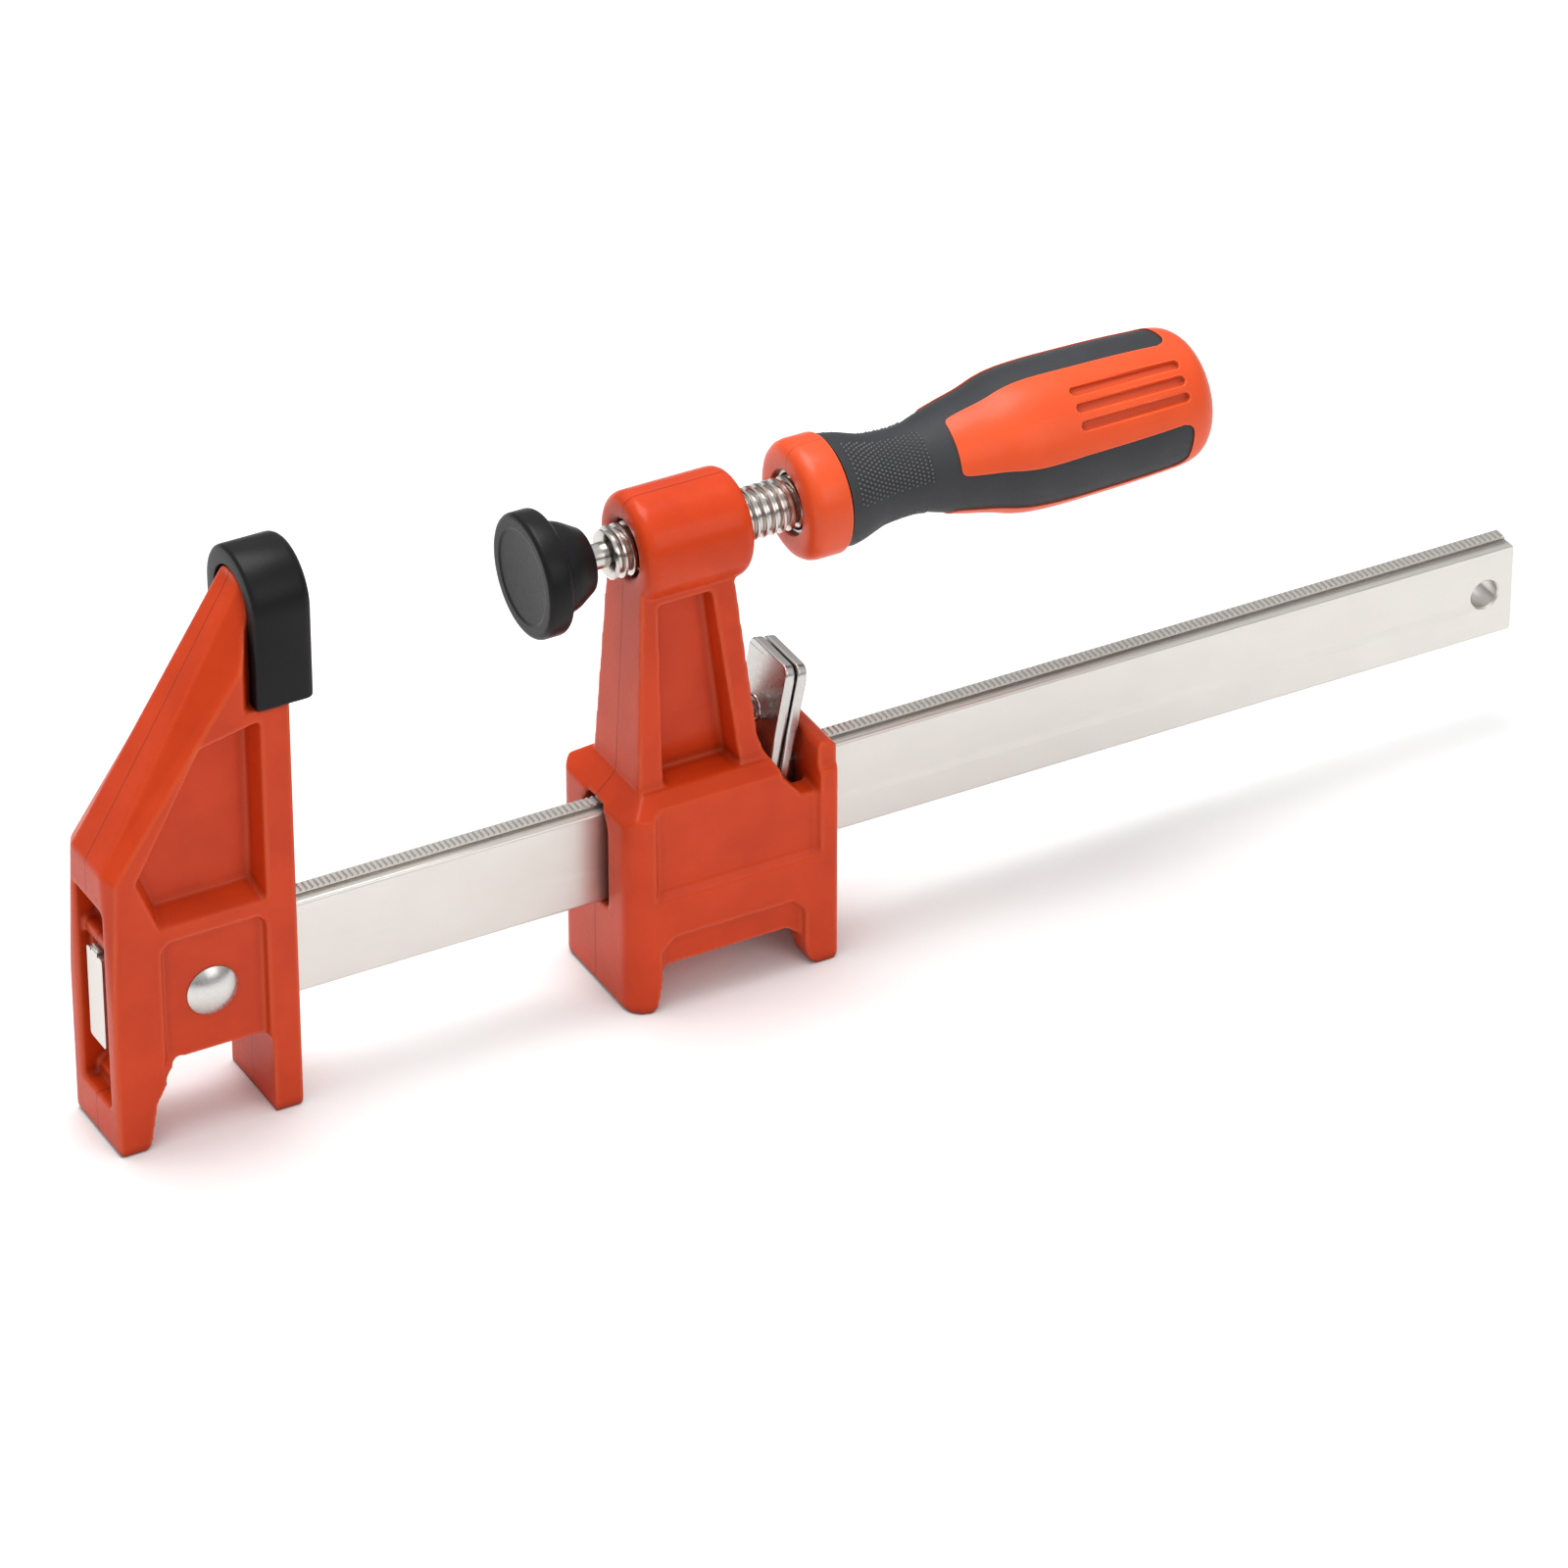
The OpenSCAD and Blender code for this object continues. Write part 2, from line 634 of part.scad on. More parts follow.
module base_panels() {
    front = sj_x + base_panel_front;
    back = sj_x + sj_l - base_panel_back;
    rim = [[front, base_panel_low], [front, sj_h + over], [back, sj_h + over], [back, base_panel_low]];
    floor = [[front + base_panel_step / 2, base_panel_low + base_panel_step],
        [front + base_panel_step / 2, sj_h + over], [back - base_panel_step / 2, sj_h + over],
        [back - base_panel_step / 2, base_panel_low + base_panel_step]];
    side_pockets(rim, floor, sj_w / 2 + tiny, sj_w / 2 - base_panel_d);
    low_front = sj_x + skirt_panel_front;
    low_back = sj_x + sj_l - skirt_panel_back;
    low_rim = [[low_front, -over], [low_front, skirt_panel_top - skirt_corner],
        [low_front + skirt_corner, skirt_panel_top], [low_back - skirt_corner, skirt_panel_top],
        [low_back, skirt_panel_top - skirt_corner], [low_back, -over]];
    low_floor = [[low_front + panel_draft, -over], [low_front + panel_draft, skirt_panel_top - skirt_corner],
        [low_front + skirt_corner, skirt_panel_top - panel_draft],
        [low_back - skirt_corner, skirt_panel_top - panel_draft],
        [low_back - panel_draft, skirt_panel_top - skirt_corner], [low_back - panel_draft, -over]];
    side_pockets(low_rim, low_floor, sj_w / 2 + tiny, sj_w / 2 - base_panel_d);
}

// Slot for the bar, flared at the front
module bar_slot() {
    half = bar_t / 2 + slide_gap;
    translate([sj_x - over, -half, bar_z - slide_gap])
        cube([sj_l + 2 * over, 2 * half, bar_h + ridge_h + 2 * slide_gap]);
    arch_along(sj_x - over, mouth_d + over, mouth_w, bar_z - slide_gap, bar_top + 2 * slide_gap);
}

// Chamber that the clutch plates stand in, open at the bottom and between the walls on top
module clutch_chamber() {
    side_plate([for (p = [[chamber_front, -over], [sj_l - post_t, -over], [sj_l - post_t, post_z + over],
        [pivot[0], post_z + over], pivot, rock_low, [chamber_front, bar_top + slide_gap]])
        p + [sj_x, 0]], chamber_w);
}

module spring_place() {
    translate([sj_x + pivot[0] + spring_up * lean_x, 0, pivot[1] + spring_up * lean_z])
        rotate([0, plate_lean - 90, 0]) children();
}

module sliding_jaw() {
    color("orangered") difference() {
        union() {
            difference() {
                base_block();
                base_panels();
            }
            difference() {
                column();
                column_recess();
            }
            boss();
        }
        bar_slot();
        clutch_chamber();
        spring_place() translate([0, 0, spring_l - seat_reach]) cylinder(r = seat_r, h = seat_reach);
        screw_rod(boss_x - over, screw_r + thread_gap, boss_l + 2 * over);
        on_screw(boss_x) {
            translate([0, 0, -tiny]) cylinder(r1 = screw_r + bore_bevel, r2 = screw_r, h = bore_bevel);
            translate([0, 0, boss_l - bore_bevel + tiny])
                cylinder(r1 = screw_r, r2 = screw_r + bore_bevel, h = bore_bevel);
        }
    }
}

// Clutch

// One plate in its own frame: pivot line at the origin, front face at X = 0, upright
module clutch_plate(pivot_z) {
    low = -(pivot_z - bar_z) / lean_z - hole_gap;
    high = -(pivot_z - bar_top) / lean_z + plate_t * tan(plate_lean) + hole_gap;
    hole_w = bar_t + 2 * slide_gap;
    rotate([90, 0, 90]) linear_extrude(height = plate_t) difference() {
        union() {
            translate([-plate_w / 2, -lower_reach]) square([plate_w, lower_reach + lever_h - lever_corner]);
            translate([-plate_w / 2 + lever_corner, 0]) square([plate_w - 2 * lever_corner, lever_h]);
            for (side = [-1, 1]) translate([side * (plate_w / 2 - lever_corner), lever_h - lever_corner])
                circle(r = lever_corner);
        }
        translate([-hole_w / 2, low]) square([hole_w, high - low]);
    }
}

module clutch_plate_at(index) {
    x = sj_x + pivot[0] + index * plate_step * lean_z;
    z = pivot[1] - index * plate_step * lean_x;
    translate([x, 0, z]) rotate([0, plate_lean, 0]) clutch_plate(z);
}

module clutch_plate_front() {
    color("silver") clutch_plate_at(0);
}

module clutch_plate_rear() {
    color("gainsboro") clutch_plate_at(1);
}

// Wire of the clutch spring: straight ends, a coil between them, six-sided
curl_rings = 8;
wire_sides = 6;
coil_steps = coils * curl_rings;
coil_rise = spring_l - 2 * wire_d - 2 * seat_gap;
coil_gap = coil_rise / coils - wire_d;
echo(clutch_spring_least_gap_mm = coil_gap);

function coil_point(i) = let (turn = 360 * i / curl_rings)
    [spring_r * cos(turn), spring_r * sin(turn), seat_gap + wire_d + coil_rise * i / coil_steps];
function coil_end(i, z) = let (turn = 360 * i / curl_rings) [spring_r * cos(turn), spring_r * sin(turn), z];
spring_path = concat([coil_end(0, seat_gap)], [for (i = [0 : coil_steps]) coil_point(i)],
    [coil_end(coil_steps, spring_l - seat_gap)]);

function unit(v) = v / norm(v);
function path_turn(i, last) = i == 0 || i == last ? [0, 0, 1] :
    unit(unit(spring_path[i + 1] - spring_path[i]) + unit(spring_path[i] - spring_path[i - 1]));

module clutch_spring() {
    last = len(spring_path) - 1;
    rings = [for (i = [0 : last]) let (p = spring_path[i], t = path_turn(i, last),
        out = unit([p[0], p[1], 0]), side = unit(cross(t, out)), up = cross(side, t))
        each [for (k = [0 : wire_sides - 1]) let (a = 360 * k / wire_sides)
            p + wire_d / 2 * (cos(a) * up + sin(a) * side)]];
    start = [for (k = [0 : wire_sides - 1]) wire_sides - 1 - k];
    finish = [for (k = [0 : wire_sides - 1]) last * wire_sides + k];
    skin = [for (i = [0 : last - 1], k = [0 : wire_sides - 1]) let (m = (k + 1) % wire_sides,
        a = i * wire_sides, b = a + wire_sides) each [[a + k, a + m, b + m], [a + k, b + m, b + k]]];
    color("lightgray") spring_place() polyhedron(rings, concat([start], [finish], skin), convexity = 6);
}

// Screw

thread_start = pad_x + thread_x;
thread_end = collar_x + thread_in;
thread_l = thread_end - thread_start;
thread_turns = floor((thread_l - 2 * front_bevel) / pitch);

module screw_spindle() {
    root_r = screw_r - thread_depth;
    color("silver") {
        screw_rod(pad_x + ball_x, stem_r, thread_x - ball_x + tiny);
        translate([pad_x + ball_x, 0, axis_z]) sphere(r = ball_r);
        on_screw(thread_start) rotate_extrude() {
            polygon(concat([[0, 0], [screw_r - front_bevel, 0], [screw_r, front_bevel]],
                [for (i = [0 : thread_turns - 1]) let (z = front_bevel + i * pitch) each [
                    [screw_r, z + thread_flat], [root_r, z + pitch / 2 - thread_flat],
                    [root_r, z + pitch / 2 + thread_flat], [screw_r, z + pitch - thread_flat]]],
                [[screw_r, thread_l], [0, thread_l]]));
        }
        screw_rod(thread_end - tiny, tang_r, collar_x + tang_end - thread_end);
    }
}

// Pad

// Split ring in the neck behind the ball: it stays still while the screw turns in it
module swivel_ring() {
    color("gainsboro") on_screw(pad_x + swivel_x) difference() {
        cylinder(r = swivel_r, h = swivel_t);
        translate([0, 0, -over]) cylinder(r = stem_r + ring_fit, h = swivel_t + 2 * over);
    }
}

module pad_socket() {
    color("gray") on_screw(pad_x) difference() {
        translate([0, 0, socket_x]) cylinder(r = socket_r - seat_gap, h = socket_end - socket_x);
        translate([0, 0, ball_x]) sphere(r = ball_r + ball_gap);
    }
}

module swivel_pad() {
    color("dimgray") on_screw(pad_x) difference() {
        rotate_extrude() difference() {
            union() {
                translate([0, pad_edge]) square([pad_r, flange_t - 2 * pad_edge]);
                square([pad_r - pad_edge, flange_t]);
                for (z = [pad_edge, flange_t - pad_edge]) translate([pad_r - pad_edge, z]) circle(r = pad_edge);
                square([hub_r, hub_l - pad_edge]);
                square([hub_r - pad_edge, hub_l]);
                translate([hub_r - pad_edge, hub_l - pad_edge]) circle(r = pad_edge);
                square([tail_r, pad_l - pad_edge]);
                square([tail_r - pad_edge, pad_l]);
                translate([tail_r - pad_edge, pad_l - pad_edge]) circle(r = pad_edge);
            }
            translate([ring_groove_r, 0]) square([ring_groove_w, 2 * ring_groove_d], center = true);
        }
        translate([0, 0, socket_x - seat_gap]) cylinder(r = socket_r, h = socket_end - socket_x + 2 * seat_gap);
        translate([0, 0, socket_end]) cylinder(r = cavity_r, h = cavity_end - socket_end);
        translate([0, 0, cavity_end - tiny]) cylinder(r = mouth_r, h = pad_l - cavity_end + over);
    }
}

// Handle

module handle_collar() {
    color("orangered") on_screw(collar_x) rotate_extrude() difference() {
        union() {
            square([collar_r - collar_round, collar_l]);
            translate([0, collar_round]) square([collar_r, collar_l - collar_round - collar_back_round]);
            translate([collar_r - collar_round, collar_round]) circle(r = collar_round);
            square([collar_r - collar_back_round, collar_l]);
            translate([collar_r - collar_back_round, collar_l - collar_back_round])
                circle(r = collar_back_round);
        }
        square([sleeve_lip, collar_l + over]);
        translate([0, sleeve_in]) square([sleeve_r + seat_gap, collar_l + over]);
    }
}

module collar_sleeve() {
    color("gainsboro") on_screw(collar_x + sleeve_in + seat_gap) difference() {
        cylinder(r = sleeve_r, h = sleeve_l);
        translate([0, 0, -over]) cylinder(r = sleeve_bore, h = sleeve_l + 2 * over);
    }
}

// Smooth curve through the handle's outline, handle_steps points to each stretch
function spline(a, b, c, d, t) = ((2 * b) + (c - a) * t + (2 * a - 5 * b + 4 * c - d) * t * t
    + (3 * b - a - 3 * c + d) * t * t * t) / 2;
handle_last = len(handle_shares) - 1;
function handle_knot(i) = let (s = handle_shares[min(max(i, 0), handle_last)])
    [handle_r * s[1], collar_l + collar_gap + (handle_l - collar_l - collar_gap) * (s[0] - handle_shares[0][0])
        / (1 - handle_shares[0][0])];
handle_curve = concat([for (i = [0 : handle_last - 1], k = [0 : handle_steps - 1])
    spline(handle_knot(i - 1), handle_knot(i), handle_knot(i + 1), handle_knot(i + 2), k / handle_steps)],
    [handle_knot(handle_last)]);
handle_back = collar_l + collar_gap;

// Solid of the handle behind the collar, drawn in by a depth all round
module handle_solid(depth) {
    on_screw(collar_x) rotate_extrude()
        polygon(concat([[0, handle_back]], [for (p = handle_curve) [max(p[0] - depth, core_neck), p[1]]],
            [[0, handle_l]]));
}

// Window over the handle for one soft strip, wider towards its round far end
module strip_window(turn, grow) {
    w = strip_w + 2 * grow;
    front_w = strip_front_w + 2 * grow;
    translate([collar_x, 0, axis_z]) rotate([turn, 0, 0]) linear_extrude(height = handle_r + over) {
        polygon([[handle_back - over, -front_w / 2], [slot_x, -w / 2], [panel_end + grow - w / 2, -w / 2],
            [panel_end + grow - w / 2, w / 2], [slot_x, w / 2], [handle_back - over, front_w / 2]]);
        translate([panel_end + grow - w / 2, 0]) circle(r = w / 2);
    }
}

// Space of the soft grip: the whole neck, then the strips between the hard panels
module grip_space(grow) {
    translate([collar_x, -handle_r - over, axis_z - handle_r - over])
        cube([panel_x + grow, 2 * (handle_r + over), 2 * (handle_r + over)]);
    for (i = [0 : strips - 1]) strip_window(strip_turn + i * 360 / strips, grow);
}

module finger_slots() {
    for (i = [0 : strips - 1], k = [-1 : 1])
        translate([collar_x, 0, axis_z]) rotate([strip_turn + (i + 1 / 2) * 360 / strips + k * slot_turn, 0, 0])
            translate([0, 0, handle_r * handle_shares[13][1] - slot_d]) linear_extrude(height = handle_r) {
                translate([slot_x + slot_w / 2, -slot_w / 2]) square([slot_l - slot_w, slot_w]);
                for (x = [slot_x + slot_w / 2, slot_x + slot_l - slot_w / 2]) translate([x, 0])
                    circle(r = slot_w / 2);
            }
}

module handle_core() {
    color("tomato") difference() {
        union() {
            difference() {
                handle_solid(0);
                grip_space(0);
                finger_slots();
            }
            handle_solid(grip_t);
        }
        screw_rod(collar_x, tang_r + seat_gap, tang_end + seat_gap);
        screw_rod(collar_x, screw_r + seat_gap, thread_in + seat_gap);
    }
}

module handle_grip() {
    color("dimgray") difference() {
        intersection() {
            handle_solid(panel_rise);
            grip_space(-seat_gap);
        }
        handle_solid(grip_t - seat_gap);
    }
}

translate([-middle_x, 0, 0]) bar();
translate([-middle_x, 0, 0]) fixed_jaw();
translate([-middle_x, 0, 0]) jaw_rivet();
translate([-middle_x, 0, 0]) jaw_cap();
translate([-middle_x, 0, 0]) sliding_jaw();
translate([-middle_x, 0, 0]) clutch_plate_front();
translate([-middle_x, 0, 0]) clutch_plate_rear();
translate([-middle_x, 0, 0]) clutch_spring();
translate([-middle_x, 0, 0]) screw_spindle();
translate([-middle_x, 0, 0]) swivel_ring();
translate([-middle_x, 0, 0]) swivel_pad();
translate([-middle_x, 0, 0]) pad_socket();
translate([-middle_x, 0, 0]) handle_collar();
translate([-middle_x, 0, 0]) collar_sleeve();
translate([-middle_x, 0, 0]) handle_core();
translate([-middle_x, 0, 0]) handle_grip();
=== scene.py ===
# %% [markdown]
# # A quick release bar clamp
# The real tool is a flat steel bar with two painted castings on it, a screw with a soft pad, and a
# handle moulded in two plastics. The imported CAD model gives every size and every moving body.
# This notebook dresses that model: rounded casting edges, a real thread, teeth on the bar, a soft
# grip, and finishes made from nodes. Lengths are written in millimetres and turned into metres once.

# %% Load the frame
import math

import bmesh
import bpy
from mathutils import Matrix, Vector


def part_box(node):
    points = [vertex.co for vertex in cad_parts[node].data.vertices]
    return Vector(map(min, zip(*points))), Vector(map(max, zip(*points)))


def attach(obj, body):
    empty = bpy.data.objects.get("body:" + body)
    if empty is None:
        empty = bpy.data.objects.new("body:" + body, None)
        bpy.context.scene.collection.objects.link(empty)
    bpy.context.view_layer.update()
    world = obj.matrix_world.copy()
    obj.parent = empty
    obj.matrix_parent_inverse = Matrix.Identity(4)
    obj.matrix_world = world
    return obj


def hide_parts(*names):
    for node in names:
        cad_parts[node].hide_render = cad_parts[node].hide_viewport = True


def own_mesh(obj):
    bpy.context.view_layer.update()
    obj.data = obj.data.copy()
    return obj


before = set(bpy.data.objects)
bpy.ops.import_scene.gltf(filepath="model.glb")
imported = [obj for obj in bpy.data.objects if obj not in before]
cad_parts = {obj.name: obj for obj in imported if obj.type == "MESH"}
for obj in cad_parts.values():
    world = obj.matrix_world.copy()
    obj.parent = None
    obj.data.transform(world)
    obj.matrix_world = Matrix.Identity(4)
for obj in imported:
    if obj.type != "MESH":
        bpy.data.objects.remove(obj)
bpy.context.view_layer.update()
MM = 0.001
# corners closer together than this count as one
MERGE = 0.002 * MM

# %% [markdown]
# Every place comes from the frame. The screw's axis is the middle of the spindle's box, and the
# handle is measured from the front face of its collar, so that a change in the CAD moves the looks too.

# %% Places taken from the frame
screw_low, screw_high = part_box("screw_spindle")
AXIS_Z = (screw_low.z + screw_high.z) / 2
PAD_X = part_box("swivel_pad")[0].x
COLLAR_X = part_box("handle_collar")[0].x
HANDLE_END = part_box("handle_core")[1].x
bar_low, bar_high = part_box("bar")
print("screw axis at", round(AXIS_Z / MM, 2), "mm, collar face at", round(COLLAR_X / MM, 2), "mm")

# %% [markdown]
# A finish is a small tree of nodes. One helper adds a node, sets its values and joins its inputs in
# one line. Writing each link by hand would do the same in three times the space.

# %% Helpers for nodes
def set_inputs(tree, node, **inputs):
    """Sets a node's inputs by name or by _number; each is a value, or another node's output to link."""
    for name, value in inputs.items():
        socket = node.inputs[int(name[1:]) if name[1:].isdigit() else name.replace("_", " ")]
        if isinstance(value, bpy.types.NodeSocket):
            tree.links.new(value, socket)
        else:
            socket.default_value = value


def add_node(tree, kind, settings=None, **inputs):
    """Adds a shader node with its settings and its inputs."""
    node = tree.nodes.new("ShaderNode" + kind)
    for name, value in (settings or {}).items():
        setattr(node, name, value)
    set_inputs(tree, node, **inputs)
    return node


def start_finish(name):
    """A new material with its tree, its shader and the place on the object."""
    finish = bpy.data.materials.new(name)
    finish.use_nodes = True
    tree = finish.node_tree
    place = add_node(tree, "TexCoord").outputs["Object"]
    return finish, tree, tree.nodes["Principled BSDF"], place


def math_node(tree, operation, a, b=0.0, clamp=False):
    return add_node(tree, "Math", {"operation": operation, "use_clamp": clamp}, _0=a, _1=b).outputs[0]


def spread(tree, value, low, high, to_low, to_high):
    """Maps a value from one range to another, held at both ends."""
    return add_node(tree, "MapRange", Value=value, From_Min=low, From_Max=high, To_Min=to_low,
                    To_Max=to_high).outputs[0]


def mix_colours(tree, share, a, b):
    """Mixes two colours; each is (red, green, blue), or another node's output."""
    a, b = (c if isinstance(c, bpy.types.NodeSocket) else (*c, 1) for c in (a, b))
    return add_node(tree, "Mix", {"data_type": "RGBA"}, Factor=share, _6=a, _7=b).outputs[2]

# %% [markdown]
# Painted castings and moulded plastics share one recipe: a colour that wanders a little, a fine
# orange-peel bump, a slower unevenness under it, edges painted lighter as a painted highlight, in part
# also paint rubbed thin, inner corners and creases painted darker as painted shade, and a faint
# parting line in the middle plane, where the two halves of the mould met.
# The edge is found with the Bevel node, which compares the rounded normal with the real one; painting
# a mask by hand would look the same but would be lost each time the shape changes.

# %% The recipe for painted and moulded surfaces
# how far an edge must turn for its painted highlight to start and to be full, how strong that highlight is,
# and how strong the painted shade in creases is
RIM_STARTS = 0.998
RIM_FULL = 0.955
EDGE_HIGHLIGHT_SHARE = 0.8
CREASE_SHADE_SHARE = 0.8


def coated(name, colour, dark, edge, roughness, peel, peel_depth, coat=0.0, parting=0.0, edge_width=0.9,
           grain=60, specular=0.5, crease=2.0):
    """A painted or moulded finish; edge is the colour of the painted highlight on edges and crease the
    reach of the painted shade in inner corners; peel_depth, parting, edge_width and crease are in mm.
    """
    finish, tree, shader, place = start_finish(name)
    wander = add_node(tree, "TexNoise", Vector=place, Scale=grain, Detail=4).outputs["Fac"]
    fine = add_node(tree, "TexNoise", Vector=place, Scale=peel, Detail=3, Roughness=0.6).outputs["Fac"]
    slow = add_node(tree, "TexNoise", Vector=place, Scale=peel / 4, Detail=2).outputs["Fac"]
    tone = mix_colours(tree, spread(tree, wander, 0.35, 0.65, 0, 1), colour, dark)
    soft_normal = add_node(tree, "Bevel", {"samples": 4}, Radius=edge_width * MM).outputs[0]
    true_normal = add_node(tree, "NewGeometry").outputs["Normal"]
    turn = add_node(tree, "VectorMath", {"operation": "DOT_PRODUCT"}, _0=soft_normal, _1=true_normal)
    # painted highlight: edges, inner ones too, are painted lighter towards the edge colour; the share
    # varies with the wandering tone, in part for paint rubbed thin
    rim = spread(tree, turn.outputs["Value"], RIM_STARTS, RIM_FULL, 0, EDGE_HIGHLIGHT_SHARE)
    rubbed_and_highlit = math_node(tree, "MULTIPLY", rim, spread(tree, wander, 0.3, 0.7, 0.4, 1), clamp=True)
    tone = mix_colours(tree, rubbed_and_highlit, tone, edge)
    # painted shade: inner corners, creases and recesses are painted darker where ambient occlusion finds
    # them closed in
    open_air = add_node(tree, "AmbientOcclusion", {"samples": 6}, Distance=crease * MM).outputs["AO"]
    painted_crease_shade = spread(tree, open_air, 0.4, 0.97, CREASE_SHADE_SHARE, 0)
    tone = mix_colours(tree, painted_crease_shade, tone, [c * 0.3 for c in dark])
    height = math_node(tree, "ADD", fine, math_node(tree, "MULTIPLY", slow, 2.0))
    if parting:
        across = add_node(tree, "SeparateXYZ", Vector=place).outputs["Y"]
        seam = spread(tree, math_node(tree, "ABSOLUTE", across), parting * 0.4 * MM, parting * MM, 1, 0)
        tone = mix_colours(tree, math_node(tree, "MULTIPLY", seam, 0.55), tone, [c * 0.35 for c in dark])
        height = math_node(tree, "SUBTRACT", height, math_node(tree, "MULTIPLY", seam, 2.0))
    rough = spread(tree, fine, 0.3, 0.7, roughness - 0.05, roughness + 0.05)
    bump = add_node(tree, "Bump", Height=height, Distance=peel_depth * MM, Strength=1.0)
    set_inputs(tree, shader, Base_Color=tone, Roughness=rough, Normal=bump.outputs[0], Coat_Weight=coat,
               Coat_Roughness=0.16, Specular_IOR_Level=specular)
    return finish


# the third colour of each finish is the painted highlight on its edges
casting_paint = coated("casting_paint", (0.60, 0.050, 0.008), (0.53, 0.041, 0.006), (0.82, 0.16, 0.06),
                       roughness=0.38, peel=900, peel_depth=0.035, coat=0.14, parting=0.28,
                       specular=0.12, edge_width=1.3, crease=3.0)
handle_plastic = coated("handle_plastic", (0.78, 0.082, 0.012), (0.72, 0.070, 0.010), (0.90, 0.18, 0.07),
                        roughness=0.45, peel=1500, peel_depth=0.012, coat=0.06, edge_width=0.5,
                        specular=0.35)
collar_plastic = coated("collar_plastic", (0.74, 0.076, 0.011), (0.68, 0.066, 0.010), (0.88, 0.17, 0.07),
                        roughness=0.42, peel=1500, peel_depth=0.012, coat=0.08, parting=0.2,
                        specular=0.35)
soft_black = coated("soft_black", (0.0085, 0.0085, 0.0095), (0.006, 0.006, 0.007), (0.03, 0.03, 0.033),
                    roughness=0.38, peel=1800, peel_depth=0.012, edge_width=0.7, specular=0.16)
# a lighter copy of the grip's rubber, with lighter edges too: a painted highlight, so that the pips show as
# bright dots
pip_rubber_painted_highlight = coated("pip_rubber_painted_highlight", (0.075, 0.076, 0.080), (0.06, 0.06, 0.065), (0.2, 0.2, 0.2),
                    roughness=0.38, peel=2200, peel_depth=0.01, edge_width=0.3)
grip_rubber = coated("grip_rubber", (0.034, 0.035, 0.039), (0.026, 0.027, 0.031), (0.09, 0.09, 0.10),
                     roughness=0.62, peel=2200, peel_depth=0.015, edge_width=0.4, specular=0.35)
print("coated finishes:", casting_paint.name, handle_plastic.name, soft_black.name, grip_rubber.name)

# %% [markdown]
# Bare and plated steel is a mirror with fine damage. Noise stretched along one direction gives the
# drawn bar its brush lines, and the same noise unstretched gives stamped plates their mottled zinc.

# %% The recipe for steel
def steel(name, colour, roughness, stretch=(1, 1, 1), lines=700, depth=0.004, mottle=0.08, rubbed_and_highlit=0.3):
    """A bare or plated steel finish; depth is in mm."""
    finish, tree, shader, place = start_finish(name)
    drawn = add_node(tree, "Mapping", Vector=place, Scale=stretch).outputs[0]
    brush = add_node(tree, "TexNoise", Vector=drawn, Scale=lines, Detail=5, Roughness=0.65).outputs["Fac"]
    cloud = add_node(tree, "TexNoise", Vector=place, Scale=90, Detail=5).outputs["Fac"]
    tone = mix_colours(tree, spread(tree, cloud, 0.35, 0.7, 0, mottle * 4), colour,
                       [c * 0.78 for c in colour])
    rough = math_node(tree, "ADD", spread(tree, brush, 0.3, 0.7, roughness - 0.06, roughness + 0.06),
                      spread(tree, cloud, 0.3, 0.7, -mottle / 2, mottle / 2))
    bump = add_node(tree, "Bump", Height=brush, Distance=depth * MM, Strength=rubbed_and_highlit)
    set_inputs(tree, shader, Base_Color=tone, Metallic=1.0, Roughness=rough, Normal=bump.outputs[0])
    return finish


bar_steel = steel("bar_steel", (0.66, 0.635, 0.60), roughness=0.36, stretch=(0.02, 1, 1), lines=2500,
                  depth=0.01, mottle=0.02)
clutch_steel = steel("clutch_steel", (0.56, 0.545, 0.525), roughness=0.3, mottle=0.04, rubbed_and_highlit=0.02)
screw_steel = steel("screw_steel", (0.60, 0.57, 0.535), roughness=0.2, mottle=0.05, rubbed_and_highlit=0.1)
rivet_steel = steel("rivet_steel", (0.60, 0.59, 0.57), roughness=0.3, mottle=0.02, rubbed_and_highlit=0.02)
spring_steel = steel("spring_steel", (0.55, 0.55, 0.55), roughness=0.22)

# %% [markdown]
# A new piece starts as a bmesh, is merged and turned outwards, and then rides on its body. Its flat
# parts stay flat because sharp edges are marked by angle, and a Bevel modifier rounds what a hand
# would feel as a soft edge.

# %% Helpers that finish a piece
def add_object(name, data):
    """Puts a mesh, a light or a camera into the scene."""
    thing = bpy.data.objects.new(name, data)
    bpy.context.scene.collection.objects.link(thing)
    return thing


def make_piece(name, shape, finish, body, slot, *nodes, sharp=35):
    """Makes a bmesh an object that rides on a body and stands for the CAD nodes named last."""
    bmesh.ops.remove_doubles(shape, verts=shape.verts, dist=MERGE)
    bmesh.ops.recalc_face_normals(shape, faces=shape.faces)
    mesh = bpy.data.meshes.new(name)
    shape.to_mesh(mesh)
    shape.free()
    mesh.shade_smooth()
    mesh.set_sharp_from_angle(angle=math.radians(sharp))
    mesh.materials.append(finish)
    piece = add_object(name, mesh)
    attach(piece, body)
    if nodes:
        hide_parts(*nodes)
    print(f"{name}: {len(mesh.vertices)} corners, {len(mesh.polygons)} faces")
    return piece


def round_edges(piece, width, segments=3, angle=28):
    """Rounds the edges that turn by more than angle; width is in mm."""
    soften = piece.modifiers.new("rounded edges", "BEVEL")
    soften.width = width * MM
    soften.segments = segments
    soften.limit_method = "ANGLE"
    soften.angle_limit = math.radians(angle)
    soften.use_clamp_overlap = True
    soften.harden_normals = True
    soften.miter_outer = "MITER_ARC"


